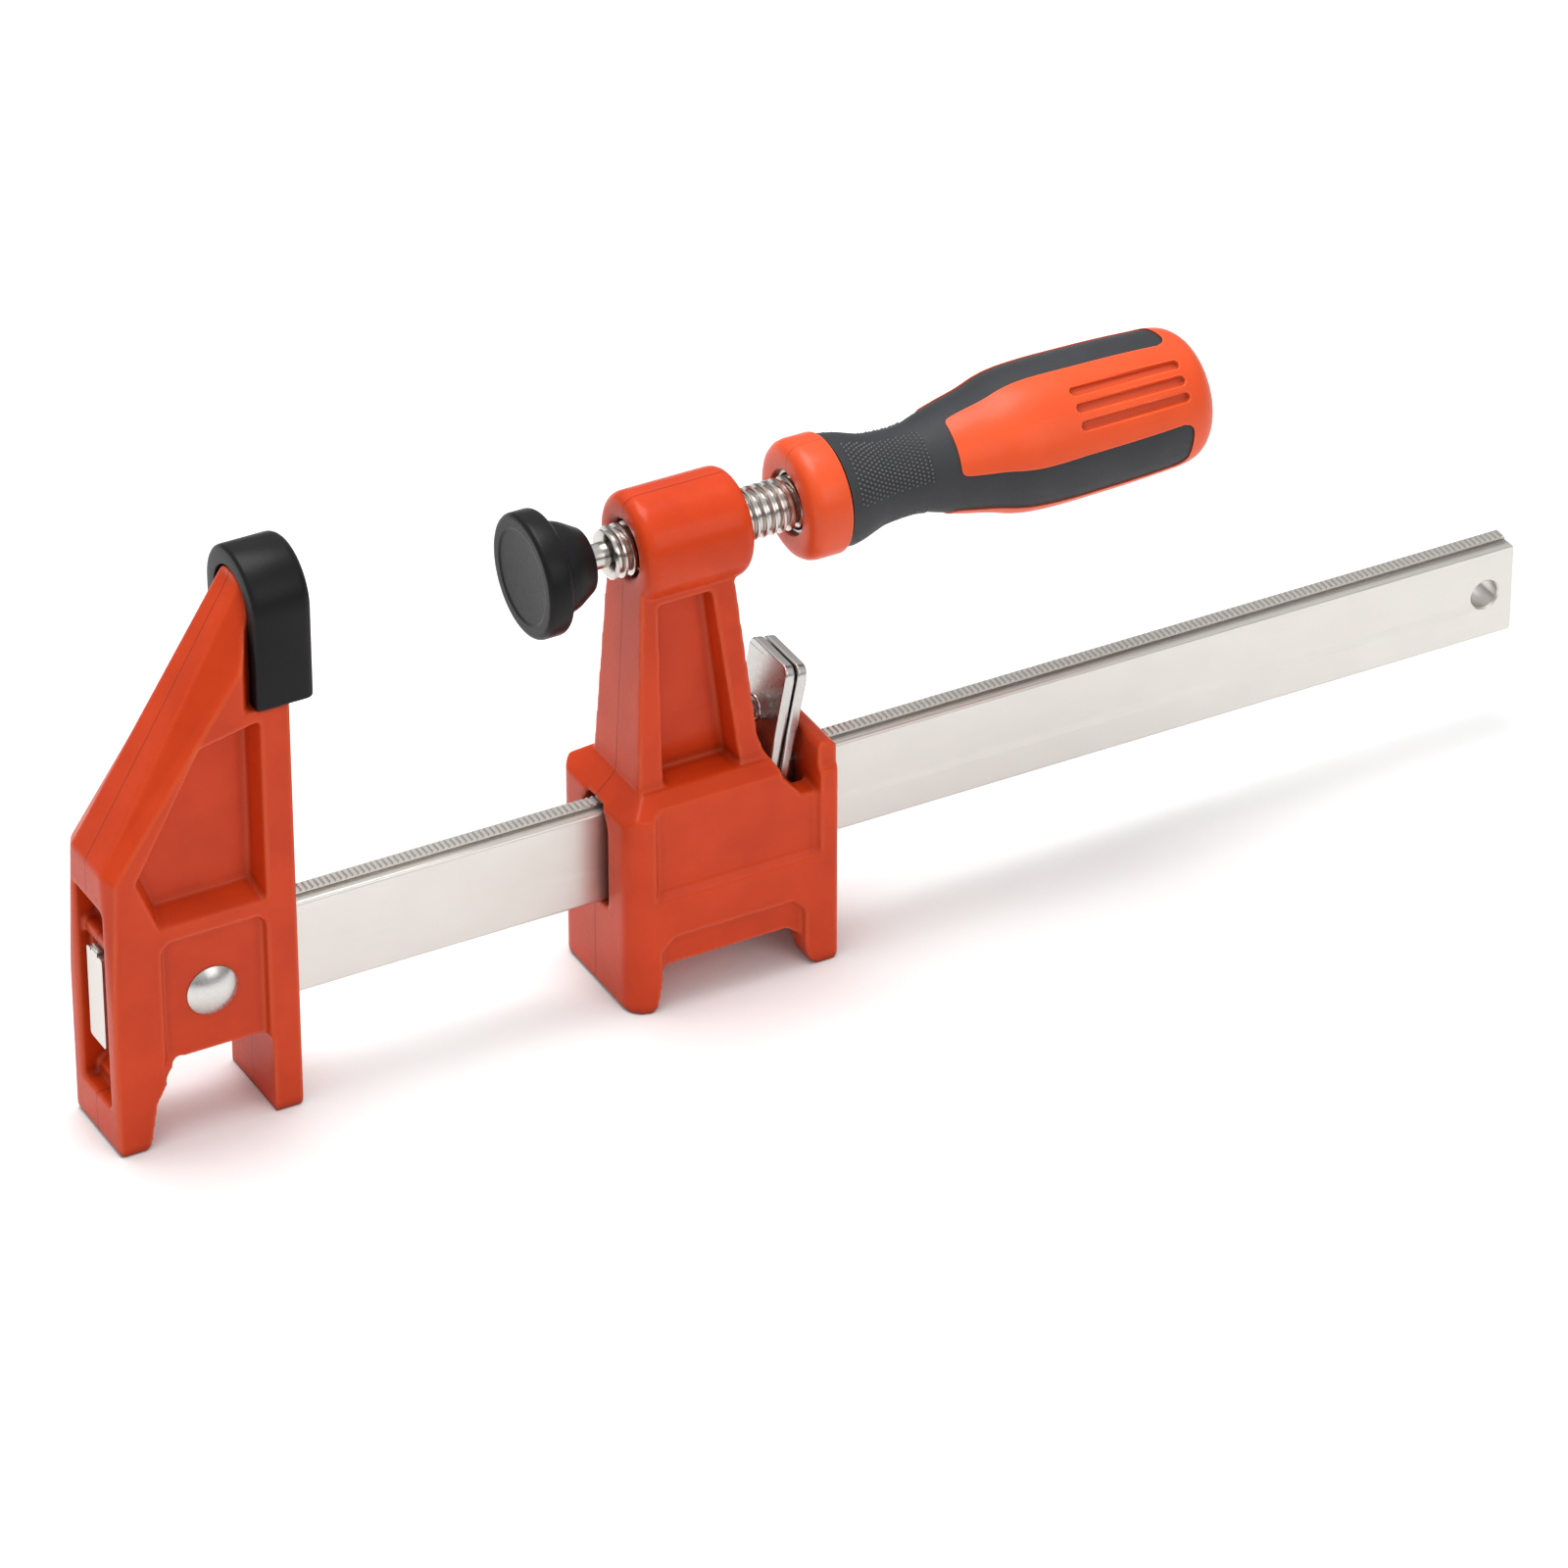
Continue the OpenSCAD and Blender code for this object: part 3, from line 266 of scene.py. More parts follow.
def copy_of(node, flat_within=0.6):
    """The CAD node's mesh as a bmesh, merged, with its flat faces whole again; flat_within is in
    degrees."""
    shape = bmesh.new()
    shape.from_mesh(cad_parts[node].data)
    bmesh.ops.remove_doubles(shape, verts=shape.verts, dist=MERGE)
    bmesh.ops.dissolve_limit(shape, angle_limit=math.radians(flat_within), verts=shape.verts,
                             edges=shape.edges)
    return shape


def settle(piece):
    """Turns a piece's modifiers into its own mesh, so that more can be done to it."""
    bpy.context.view_layer.update()
    finished = piece.evaluated_get(bpy.context.evaluated_depsgraph_get())
    mesh = bpy.data.meshes.new_from_object(finished)
    piece.modifiers.clear()
    piece.data = mesh


def soften_casting(piece, node, grain=0.62, passes=8):
    """Gives a casting one even skin, lays it on the CAD node's faces, and rounds edges and corners.
    grain is the size of the skin's cells in mm; at 0.62 the larger jaw stays under 200,000 triangles."""
    skin = piece.modifiers.new("even skin", "REMESH")
    skin.mode = "VOXEL"
    skin.voxel_size = grain * MM
    skin.use_smooth_shade = True
    laid = piece.modifiers.new("laid on the true faces", "SHRINKWRAP")
    laid.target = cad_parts[node]
    laid.wrap_method = "NEAREST_SURFACEPOINT"
    soften = piece.modifiers.new("soft corners", "SMOOTH")
    soften.factor = 0.5
    soften.iterations = passes
    settle(piece)


def rub_down(piece, middle, reach, passes=40):
    """Smooths a finished skin within reach of one place, all in mm, as a file does with a burr."""
    shape = bmesh.new()
    shape.from_mesh(piece.data)
    near = [v for v in shape.verts if (v.co / MM - Vector(middle)).length < reach]
    for _ in range(passes):
        bmesh.ops.smooth_vert(shape, verts=near, factor=0.5, use_axis_x=True, use_axis_y=True,
                              use_axis_z=True)
    shape.to_mesh(piece.data)
    shape.free()
    print(piece.name, "rubbed down at", len(near), "corners")


def cut_flat(shape, place, outward):
    """Cuts off what lies outward of a plane through place, and closes the cut."""
    cut = bmesh.ops.bisect_plane(shape, geom=shape.verts[:] + shape.edges[:] + shape.faces[:],
                                 plane_co=place, plane_no=outward, clear_outer=True)
    rim = [e for e in cut["geom_cut"] if isinstance(e, bmesh.types.BMEdge)]
    bmesh.ops.holes_fill(shape, edges=rim, sides=0)


def close_holes(shape):
    """Puts a face in every open rim of a shape."""
    bmesh.ops.holes_fill(shape, edges=[e for e in shape.edges if e.is_boundary], sides=0)


def extrude(shape, faces, keep=False):
    """Extrudes faces in place and returns the new vertices; keep leaves the old faces in too."""
    grown = bmesh.ops.extrude_face_region(shape, geom=faces, use_keep_orig=keep)
    return [g for g in grown["geom"] if isinstance(g, bmesh.types.BMVert)]


def bevel_some(shape, wanted, width, segments=4):
    """Rounds only the edges for which wanted(edge) is true; width is in mm."""
    bmesh.ops.bevel(shape, geom=[e for e in shape.edges if wanted(e)], offset=width * MM,
                    segments=segments, profile=0.5, affect="EDGES", material=-1, clamp_overlap=True)


def lathe(outline, start, closed=True, steps=96):
    """Turns an outline about the screw's axis. Each corner is (along, radius) or (along, radius,
    rounding) in mm; along is measured from start."""
    shape = bmesh.new()
    corners = [shape.verts.new((start + c[0] * MM, 0, AXIS_Z + c[1] * MM)) for c in outline]
    pairs = list(zip(corners, corners[1:])) + ([(corners[-1], corners[0])] if closed else [])
    edges = [shape.edges.new(p) for p in pairs]
    bmesh.ops.spin(shape, geom=corners + edges, cent=(0, 0, AXIS_Z), axis=(1, 0, 0),
                   angle=2 * math.pi, steps=steps, use_merge=True)
    bmesh.ops.remove_doubles(shape, verts=shape.verts, dist=MERGE)
    near = 0.005 * MM
    for corner in outline:
        if len(corner) > 2:
            def on_ring(v):
                return (abs(v.co.x - start - corner[0] * MM) < near and
                        abs(math.hypot(v.co.y, v.co.z - AXIS_Z) - corner[1] * MM) < near)
            bevel_some(shape, lambda e: on_ring(e.verts[0]) and on_ring(e.verts[1]), corner[2])
    return shape

# %% [markdown]
# ## The bar
# The real bar is drawn flat steel with a thin ridge on its upper edge, and the ridge is cut with fine
# teeth that the clutch plates bite into. The bar keeps the CAD shape up to the foot of the ridge. The
# teeth are one small tooth repeated with an Array modifier, because 250 teeth modelled one by one
# would be the same tooth again. The tooth has no end faces, so its neighbours merge with it, and the
# two ends of the whole row are closed once the modifier has become the mesh.

# %% The bar and its teeth
TOOTH_PITCH = 1.6
TOOTH_DEPTH = 0.55
FLANK_FROM = 0.30
CREST_FROM = 0.62
CREST_TO = 1.18
FLANK_TO = 1.5
RIDGE_HALF = 1.7
RIDGE_H = 0.9
TOOTH_ROOT = 0.3

shape = copy_of("bar")
ridge_foot = bar_high.z - RIDGE_H * MM
cut_flat(shape, place=(0, 0, ridge_foot), outward=(0, 0, 1))
steel_bar = make_piece("steel_bar", shape, bar_steel, "bar_frame", "bar_steel", "bar")
round_edges(steel_bar, width=0.25, segments=2)


def one_tooth(x):
    """A ridge slice one pitch long: a flat valley, then a raised tooth with sloping flanks."""
    low, high = ridge_foot - TOOTH_ROOT * MM, bar_high.z
    valley = high - TOOTH_DEPTH * MM
    steps = [(0, valley), (FLANK_FROM, valley), (CREST_FROM, high), (CREST_TO, high), (FLANK_TO, valley),
             (TOOTH_PITCH, valley)]
    tooth = bmesh.new()
    side = [tooth.verts.new((x + a * MM, -RIDGE_HALF * MM, z)) for a, z in steps]
    side += [tooth.verts.new((x + a * MM, -RIDGE_HALF * MM, low)) for a in (TOOTH_PITCH, 0)]
    moved = extrude(tooth, [tooth.faces.new(side)])
    bmesh.ops.translate(tooth, verts=moved, vec=(0, 2 * RIDGE_HALF * MM, 0))
    return tooth


teeth_count = int((bar_high.x - bar_low.x) / (TOOTH_PITCH * MM))
shape = one_tooth(bar_low.x)
ends = [f for f in shape.faces if abs(f.normal.x) > 0.9]
bmesh.ops.delete(shape, geom=ends, context="FACES_ONLY")
bar_teeth = make_piece("bar_teeth", shape, bar_steel, "bar_frame", "bar_steel", "bar")
repeat = bar_teeth.modifiers.new("teeth", "ARRAY")
repeat.use_relative_offset = False
repeat.use_constant_offset = True
repeat.constant_offset_displace = (TOOTH_PITCH * MM, 0, 0)
repeat.count = teeth_count
repeat.use_merge_vertices = True
repeat.merge_threshold = 0.01 * MM
settle(bar_teeth)
shape = bmesh.new()
shape.from_mesh(bar_teeth.data)
close_holes(shape)
shape.to_mesh(bar_teeth.data)
shape.free()
print("teeth on the bar:", teeth_count)

# %% [markdown]
# ## The castings
# Both jaws are sand or die castings under baked enamel. The CAD node is already the right shape with
# knife edges, so the new piece is its merged copy under three modifiers. Remesh gives it one even skin,
# Shrinkwrap lays that skin back on the true faces, which takes the grid's steps out of sloping walls,
# and Smooth then rounds its edges and its inner corners alike, as sand and paint do. A Bevel would
# round the outer edges as well, but it trips over the short edges where sloping faces meet. The
# modifiers then become the mesh, so that the sharp tip where the fixed jaw's recess meets its arch
# can be rubbed down on both sides, as a file would do it on the real casting.

# %% The fixed jaw
# the middle of the tip, in mm, and how far round it the skin is smoothed
TIP_X = -191.5
TIP_Y = 12.4
TIP_Z = 22.2
TIP_REACH = 4.2

shape = copy_of("fixed_jaw")
fixed_casting = make_piece("fixed_casting", shape, casting_paint, "bar_frame", "casting_paint", "fixed_jaw")
soften_casting(fixed_casting, "fixed_jaw")
for side in (-1, 1):
    rub_down(fixed_casting, (TIP_X, side * TIP_Y, TIP_Z), TIP_REACH)

# %% The sliding jaw
shape = copy_of("sliding_jaw")
sliding_casting = make_piece("sliding_casting", shape, casting_paint, "slider", "casting_paint",
                             "sliding_jaw")
soften_casting(sliding_casting, "sliding_jaw")

# %% [markdown]
# ## The rivet
# One rivet holds jaw and bar together. Only its two domed heads show, so each is a low dome turned from
# an arc, with a flat base where it sits in the paint.

# %% The rivet
rivet_low, rivet_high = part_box("jaw_rivet")
rivet_middle = (rivet_low + rivet_high) / 2
HEAD_R = 7.2
HEAD_H = 2.6
DOME_RINGS = 12
seat_y = -rivet_low.y - HEAD_H * MM
shape = bmesh.new()
dome_r = (HEAD_R ** 2 + HEAD_H ** 2) / (2 * HEAD_H)
outline = [(0, HEAD_H)]
for i in range(1, DOME_RINGS + 1):
    r = HEAD_R * i / DOME_RINGS
    outline.append((r, math.sqrt(dome_r ** 2 - r ** 2) - dome_r + HEAD_H))
outline += [(HEAD_R, 0), (0, 0)]
for side in (-1, 1):
    corners = [shape.verts.new((rivet_middle.x + r * MM, side * (seat_y + h * MM), rivet_middle.z))
               for r, h in outline]
    edges = [shape.edges.new(p) for p in zip(corners, corners[1:])]
    bmesh.ops.spin(shape, geom=corners + edges, cent=rivet_middle, axis=(0, 1, 0), angle=2 * math.pi,
                   steps=64, use_merge=True)
rivet_heads = make_piece("rivet_heads", shape, rivet_steel, "bar_frame", "rivet_steel", "jaw_rivet")
round_edges(rivet_heads, width=0.35, segments=2)

# %% [markdown]
# ## The jaw cap
# A soft plastic shoe slips over the tip of the fixed jaw. Seen along the bar it is an arch, so an arch
# outline is spun at the top, drawn down, pushed along the bar, and hollowed from behind with an inset.

# %% The jaw cap
cap_low, cap_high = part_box("jaw_cap")
CAP_WALL = 4.95
CAP_FACE = 6.8
SPARE_LEG = 8
half = (cap_high.y - cap_low.y) / 2
shape = bmesh.new()
crown = shape.verts.new((cap_high.x, half, cap_high.z - half))
bmesh.ops.spin(shape, geom=[crown], cent=(cap_high.x, 0, cap_high.z - half), axis=(1, 0, 0),
               angle=math.pi, steps=40)
ends = sorted(shape.verts, key=lambda v: v.co.z)[:2]
legs = bmesh.ops.extrude_vert_indiv(shape, verts=ends)["verts"]
for leg in legs:
    leg.co.z = cap_low.z - SPARE_LEG * MM
shape.edges.new(legs)
bmesh.ops.contextual_create(shape, geom=shape.edges[:])
behind = extrude(shape, shape.faces[:])
bmesh.ops.translate(shape, verts=behind, vec=(cap_low.x - cap_high.x, 0, 0))
bmesh.ops.recalc_face_normals(shape, faces=shape.faces)
back_face = [f for f in shape.faces if f.normal.x < -0.9]
depth = (cap_high.x - cap_low.x) / MM - CAP_FACE
bmesh.ops.inset_region(shape, faces=back_face, thickness=CAP_WALL * MM, depth=0, use_even_offset=True)
inner = [f for f in back_face if f.is_valid]
pushed = extrude(shape, inner)
bmesh.ops.delete(shape, geom=inner, context="FACES_ONLY")
bmesh.ops.translate(shape, verts=pushed, vec=(depth * MM, 0, 0))
cut_flat(shape, place=(0, 0, cap_low.z), outward=(0, 0, -1))


def on_outer_rim(edge, x):
    """True for the arch's outer edge at x, but not for its bottom."""
    near = 0.001 * MM
    at_x = all(abs(v.co.x - x) < near for v in edge.verts)
    at_bottom = all(abs(v.co.z - cap_low.z) < near for v in edge.verts)
    outside = all(math.hypot(v.co.y, max(v.co.z - (cap_high.z - half), 0)) > half - 0.5 * MM
                  for v in edge.verts)
    return at_x and outside and not at_bottom


bevel_some(shape, lambda e: on_outer_rim(e, cap_high.x), width=2.6, segments=5)
bevel_some(shape, lambda e: on_outer_rim(e, cap_low.x), width=1.2, segments=3)
soft_cap = make_piece("soft_cap", shape, soft_black, "bar_frame", "soft_plastic", "jaw_cap")
round_edges(soft_cap, width=0.4, segments=2, angle=40)

# %% [markdown]
# ## The clutch
# Two stamped plates lean on the bar and grip it when the jaw is loaded. A thumb on their upper ends
# stands them upright and lets the jaw slide. Their copies get the soft rolled edges of a stamping.

# %% The clutch plates
for node, body in (("clutch_plate_front", "front_clutch"), ("clutch_plate_rear", "rear_clutch")):
    plate = make_piece(node.replace("clutch_plate", "stamped_plate"), copy_of(node), clutch_steel, body,
                       "clutch_steel", node)
    round_edges(plate, width=0.65, segments=3)

# %% [markdown]
# The spring pushes the front plate away from the jaw. Its wire is a small circle spun about the
# spring's own axis while it climbs, which is the plain way to draw a helix with the spin operator.
# When the plates stand up it shortens.

# %% The clutch spring
WIRE_R = 0.45
COIL_R = 3.4
COILS = 3.5
SPRING_L = 8.2
SEAT_GAP = 0.05
LEAN = math.radians(11)
WIRE_SIDES = 12
STEPS_A_COIL = 28
spring_low, spring_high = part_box("clutch_spring")
spring_axis = Vector((-math.cos(LEAN), 0, math.sin(LEAN)))
spring_middle = (spring_low + spring_high) / 2
across = Vector((0, 1, 0))
upright = across.cross(spring_axis)
start = spring_middle - spring_axis * (SPRING_L / 2 - SEAT_GAP) * MM
rise = (SPRING_L - 2 * SEAT_GAP - 2 * WIRE_R) * MM
shape = bmesh.new()
turn_frame = Matrix((across, spring_axis, upright)).transposed().to_4x4()
turn_frame.translation = start + across * COIL_R * MM + spring_axis * WIRE_R * MM
ring = bmesh.ops.create_circle(shape, cap_ends=False, segments=WIRE_SIDES, radius=WIRE_R * MM,
                               matrix=turn_frame)["verts"]
steps = int(COILS * STEPS_A_COIL)
bmesh.ops.spin(shape, geom=ring + shape.edges[:], cent=start, axis=spring_axis,
               angle=2 * math.pi * COILS, steps=steps, dvec=spring_axis * rise / steps)
close_holes(shape)
coil = make_piece("coil_spring", shape, spring_steel, "slider", "spring_steel", "clutch_spring")
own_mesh(coil)

# %% [markdown]
# ## The screw
# The thread is real: one pitch of its outline is spun about the axis while it moves one pitch a turn,
# to the right hand, and the two ends are cut off square. The stem and the ball behind it are turned.

# %% The threaded spindle
PITCH = 2.5
CREST_R = 7.0
CREST_ROUND = 0.25
ROOT_R = 5.75
CHAMFER_R = 6.2
THREAD_FROM = 23.1
INSIDE_HANDLE = 20
THREAD_TO = COLLAR_X / MM - PAD_X / MM + INSIDE_HANDLE
STEPS_A_TURN = 40
BALL_X = 9.5
BALL_R = 4.6
STEM_FROM = 12.9
STEM_R = 3.4

turns = int((THREAD_TO - THREAD_FROM) / PITCH) + 3
shape = bmesh.new()
profile = [(0, ROOT_R), (0.25, ROOT_R), (0.62, CREST_R - CREST_ROUND), (0.82, CREST_R), (1.43, CREST_R),
           (1.63, CREST_R - CREST_ROUND), (2.0, ROOT_R), (PITCH, ROOT_R)]
first = PAD_X + (THREAD_FROM - 1.5 * PITCH) * MM
corners = [shape.verts.new((first + a * MM, 0, AXIS_Z + r * MM)) for a, r in profile]
edges = [shape.edges.new(p) for p in zip(corners, corners[1:])]
steps = turns * STEPS_A_TURN
bmesh.ops.spin(shape, geom=corners + edges, cent=(0, 0, AXIS_Z), axis=(1, 0, 0),
               angle=2 * math.pi * turns, steps=steps, dvec=(PITCH * MM / STEPS_A_TURN, 0, 0))
bmesh.ops.remove_doubles(shape, verts=shape.verts, dist=0.004 * MM)
cut_flat(shape, place=(PAD_X + THREAD_FROM * MM, 0, 0), outward=(-1, 0, 0))
cut_flat(shape, place=(PAD_X + THREAD_TO * MM, 0, 0), outward=(1, 0, 0))
# the first turn runs out in a chamfer, so that the nut can find the thread
for v in shape.verts:
    out = Vector((0, v.co.y, v.co.z - AXIS_Z))
    room = CHAMFER_R * MM + max(0, v.co.x - (PAD_X + THREAD_FROM * MM))
    if out.length > room:
        out = out.normalized() * room
        v.co.y, v.co.z = out.y, AXIS_Z + out.z
make_piece("threaded_rod", shape, screw_steel, "screw", "screw_steel", "screw_spindle", sharp=50)

ball = [(BALL_X - BALL_R * math.cos(math.pi * i / 20), BALL_R * math.sin(math.pi * i / 20))
        for i in range(0, 15)]
# the stem reaches a little way into the rod, so that no gap opens between them
stem = [(STEM_FROM, STEM_R), (THREAD_FROM + 0.2, STEM_R), (THREAD_FROM + 0.2, 0)]
make_piece("ball_stem", lathe(ball + stem, PAD_X, closed=False, steps=64), screw_steel, "screw",
           "screw_steel", "screw_spindle")

# %% [markdown]
# ## The swivel pad
# A soft round shoe that tilts on the ball. It is turned from one outline: a face with a fine ring
# groove, a wide flange, and a hub that narrows in a blunt cone towards the screw.

# %% The swivel pad
pad_outline = [(0.5, 0), (0.35, 12.2, 0.3), (0, 12.9, 0.2), (0, 14.9), (0, 16.5, 1.4), (7, 16.5, 1.6),
               (7, 12.4, 0.4), (11.4, 11.9, 1.8), (15.6, 9.4, 1.2), (17.3, 8.4, 0.6),
               (17.3, 5.3, 0.4), (16.1, 5.3), (16.1, 7.7), (11.45, 7.7), (11.45, 0)]
make_piece("soft_pad", lathe(pad_outline, PAD_X, closed=False, steps=112), soft_black, "pad",
           "soft_plastic", "swivel_pad")

# %% [markdown]
# ## The handle's collar
# A hard plastic ring with a steel sleeve in it closes the handle's front. Both are turned.

# %% The collar and its sleeve
collar_outline = [(0, 8.7, 0.4), (0, 16, 4), (11, 16, 0.8), (11, 9.3), (1.7, 9.3), (1.7, 8.7)]
make_piece("front_collar", lathe(collar_outline, COLLAR_X), collar_plastic, "screw", "handle_plastic",
           "handle_collar")
sleeve_outline = [(1.5, 7.45, 0.35), (1.5, 8.55, 0.35), (1.75, 9.2), (10.6, 9.2), (10.6, 7.45)]
make_piece("steel_sleeve", lathe(sleeve_outline, COLLAR_X), rivet_steel, "screw", "rivet_steel",
           "collar_sleeve")

# %% [markdown]
# ## The handle
# Two plastics are moulded over each other: a hard orange core that shows as three panels and the end,
# and a soft grey grip that fills the neck and three strips between the panels. Both pieces come from
# the same grid, wrapped round the handle's outline, so that their borders meet exactly.

# %% The handle's outline
HANDLE_R = 19.5
HANDLE_L = (HANDLE_END - COLLAR_X) / MM
BACK = 11.4
STRIPS = 3
STRIP_TURN = -13
STRIP_HALF = 7.7
STRIP_FRONT_HALF = 6.3
PANEL_FRONT = 43.5
STRIP_END = 109
GRIP_T = 2.4
PANEL_RISE = 0.4
# each place on the outline is a share of the handle's length and a share of its largest radius
handle_shares = [(0.092, 0.80), (0.138, 0.748), (0.175, 0.677), (0.204, 0.63), (0.262, 0.605),
                 (0.30, 0.62), (0.342, 0.69), (0.40, 0.775), (0.456, 0.85), (0.506, 0.94),
                 (0.555, 0.985), (0.625, 1), (0.70, 0.995), (0.78, 0.985), (0.86, 0.965),
                 (0.925, 0.935), (0.96, 0.865), (0.985, 0.70), (1, 0.42)]


def knot(i):
    s = handle_shares[min(max(i, 0), len(handle_shares) - 1)]
    return Vector((BACK + (HANDLE_L - BACK) * (s[0] - handle_shares[0][0]) / (1 - handle_shares[0][0]),
                   HANDLE_R * s[1]))


def smooth_through(a, b, c, d, t):
    return ((2 * b) + (c - a) * t + (2 * a - 5 * b + 4 * c - d) * t ** 2
            + (3 * b - a - 3 * c + d) * t ** 3) / 2


curve = [smooth_through(knot(i - 1), knot(i), knot(i + 1), knot(i + 2), k / 10)
         for i in range(len(handle_shares) - 1) for k in range(10)] + [knot(len(handle_shares) - 1)]


def radius_at(x):
    for a, b in zip(curve, curve[1:]):
        if a.x <= x <= b.x:
            return a.y + (b.y - a.y) * (x - a.x) / max(b.x - a.x, 1e-9)
    return curve[0].y if x < curve[0].x else curve[-1].y


print("handle length and largest radius in mm:", round(HANDLE_L, 1), round(max(p.y for p in curve), 1))

# %% The handle's grid
def stretch(low, high, step):
    count = max(1, round((high - low) / step))
    return [low + (high - low) * i / count for i in range(count)]


SLOT_X = 76.5
SLOT_L = 32
SLOT_W = 2.2
SLOT_D = 1.25
SLOT_LIP = 0.3
SLOT_FLANK = 0.5
SLOT_TURN = 14
TURN_LAST = 0.95
last_row = BACK + (HANDLE_L - BACK) * TURN_LAST
# rows lie closer together where a border or the end of a slot needs them
rows = (stretch(BACK, PANEL_FRONT - 2, 1.1) + stretch(PANEL_FRONT - 2, PANEL_FRONT + 3, 0.5)
        + stretch(PANEL_FRONT + 3, SLOT_X - 1, 1.8) + stretch(SLOT_X - 1, SLOT_X + 3, 0.3)
        + stretch(SLOT_X + 3, SLOT_X + SLOT_L - 3, 2.2)
        + stretch(SLOT_X + SLOT_L - 3, last_row, 0.3))
rows = [(x, radius_at(x)) for x in rows]
rows += [(p.x, p.y) for p in curve if p.x >= last_row]
front_row = min(range(len(rows)), key=lambda i: abs(rows[i][0] - PANEL_FRONT))
end_row = min(range(len(rows)), key=lambda i: abs(rows[i][0] - STRIP_END))
FRONT_CORNER = 1.6
FRONT_BLEND = 2
FRONT_FADE = 8
END_CORNER = 3.6
END_BLEND = 3
END_FADE = 12
STRIP_COLUMNS = 12
PANEL_COLUMNS = 78
SECTOR = STRIP_COLUMNS * 2 + PANEL_COLUMNS
SECTOR_TURN = 360 / STRIPS


def strip_half(x):
    """Half the width of a soft strip, which widens from the neck to the slots."""
    share = min(max((x - PANEL_FRONT) / (SLOT_X - PANEL_FRONT), 0), 1)
    return STRIP_FRONT_HALF + (STRIP_HALF - STRIP_FRONT_HALF) * share


def corner_shift(distance, radius):
    """How far a border draws back near a corner, for a rounding of that radius."""
    if distance >= radius:
        return 0.0
    return radius - math.sqrt(max(radius ** 2 - (radius - distance) ** 2, 0))


def wrapped_grid(drawn_in, gap):
    """The handle's skin as a grid: rows along it, columns round it. drawn_in lowers the surface and
    gap narrows the soft grip's strips, both in mm. Returns the bmesh, the grip's faces and the core's
    faces."""
    shape = bmesh.new()
    columns = STRIPS * SECTOR
    bmesh.ops.create_grid(shape, x_segments=len(rows) - 1, y_segments=columns, size=1)
    shape.verts.ensure_lookup_table()
    order = sorted(shape.verts, key=lambda v: (round(v.co.x, 6), round(v.co.y, 6)))
    table = [order[i * (columns + 1):(i + 1) * (columns + 1)] for i in range(len(rows))]
    for i, (x, r) in enumerate(rows):
        border = math.degrees(math.asin((strip_half(x) - gap) / (r if i <= end_row else rows[end_row][1])))
        for j in range(columns + 1):
            sector, step = divmod(j, SECTOR)
            if step <= STRIP_COLUMNS:
                angle = border * step / STRIP_COLUMNS
                inside = (border - angle) * math.pi / 180 * r
            elif step <= STRIP_COLUMNS + PANEL_COLUMNS:
                angle = border + (SECTOR_TURN - 2 * border) * (step - STRIP_COLUMNS) / PANEL_COLUMNS
                inside = -min(angle - border, SECTOR_TURN - border - angle) * math.pi / 180 * r
            else:
                angle = SECTOR_TURN - border * (SECTOR - step) / STRIP_COLUMNS
                inside = (angle - (SECTOR_TURN - border)) * math.pi / 180 * r
            place_x = x
            if abs(i - front_row) < FRONT_FADE:
                fade = 1 - abs(i - front_row) / FRONT_FADE
                drawn = (corner_shift(-inside, FRONT_CORNER) if inside < 0 else
                         FRONT_CORNER * max(0, 1 - inside / FRONT_BLEND))
                place_x += fade * drawn + (gap if i == front_row else 0)
            if abs(i - end_row) < END_FADE:
                fade = 1 - abs(i - end_row) / END_FADE
                drawn = (corner_shift(inside, END_CORNER) if inside > 0 else
                         END_CORNER * max(0, 1 + inside / END_BLEND))
                place_x -= fade * drawn + (gap if i == end_row else 0)
            here = radius_at(place_x) if i <= end_row + END_FADE else r
            radius = (here - drawn_in) * MM
            turn = math.radians(STRIP_TURN + sector * SECTOR_TURN + angle)
            table[i][j].co = (COLLAR_X + place_x * MM, -radius * math.sin(turn),
                              AXIS_Z + radius * math.cos(turn))
    marks = {}
    for i, line in enumerate(table):
        for j, v in enumerate(line):
            marks[v] = (i, j)
    for face in shape.faces:
        i = max(marks[v][0] for v in face.verts)
        step = (min(marks[v][1] for v in face.verts)) % SECTOR
        in_strip = step < STRIP_COLUMNS or step >= STRIP_COLUMNS + PANEL_COLUMNS
        face.material_index = int(i <= front_row or (i <= end_row and in_strip))
    # the first and the last column meet, and the marks on the faces outlast the merge
    bmesh.ops.remove_doubles(shape, verts=shape.verts, dist=MERGE)
    grip_faces = [f for f in shape.faces if f.material_index]
    core_faces = [f for f in shape.faces if not f.material_index]
    for face in grip_faces:
        face.material_index = 0
    return shape, grip_faces, core_faces


def draw_in(verts, depth):
    """Moves vertices straight towards the handle's axis."""
    for v in verts:
        out = Vector((0, v.co.y, v.co.z - AXIS_Z))
        out = out.normalized() * (out.length - depth * MM)
        v.co.y, v.co.z = out.y, AXIS_Z + out.z

# %% [markdown]
# The core is the whole skin with the grip's faces pushed in by the grip's thickness. Three finger
# slots in each panel are pressed into the fine grid with a smooth rule; cutting them with booleans
# would leave a rough border on the curved panel.

# %% The handle's core
NEAR_NECK = 0.01


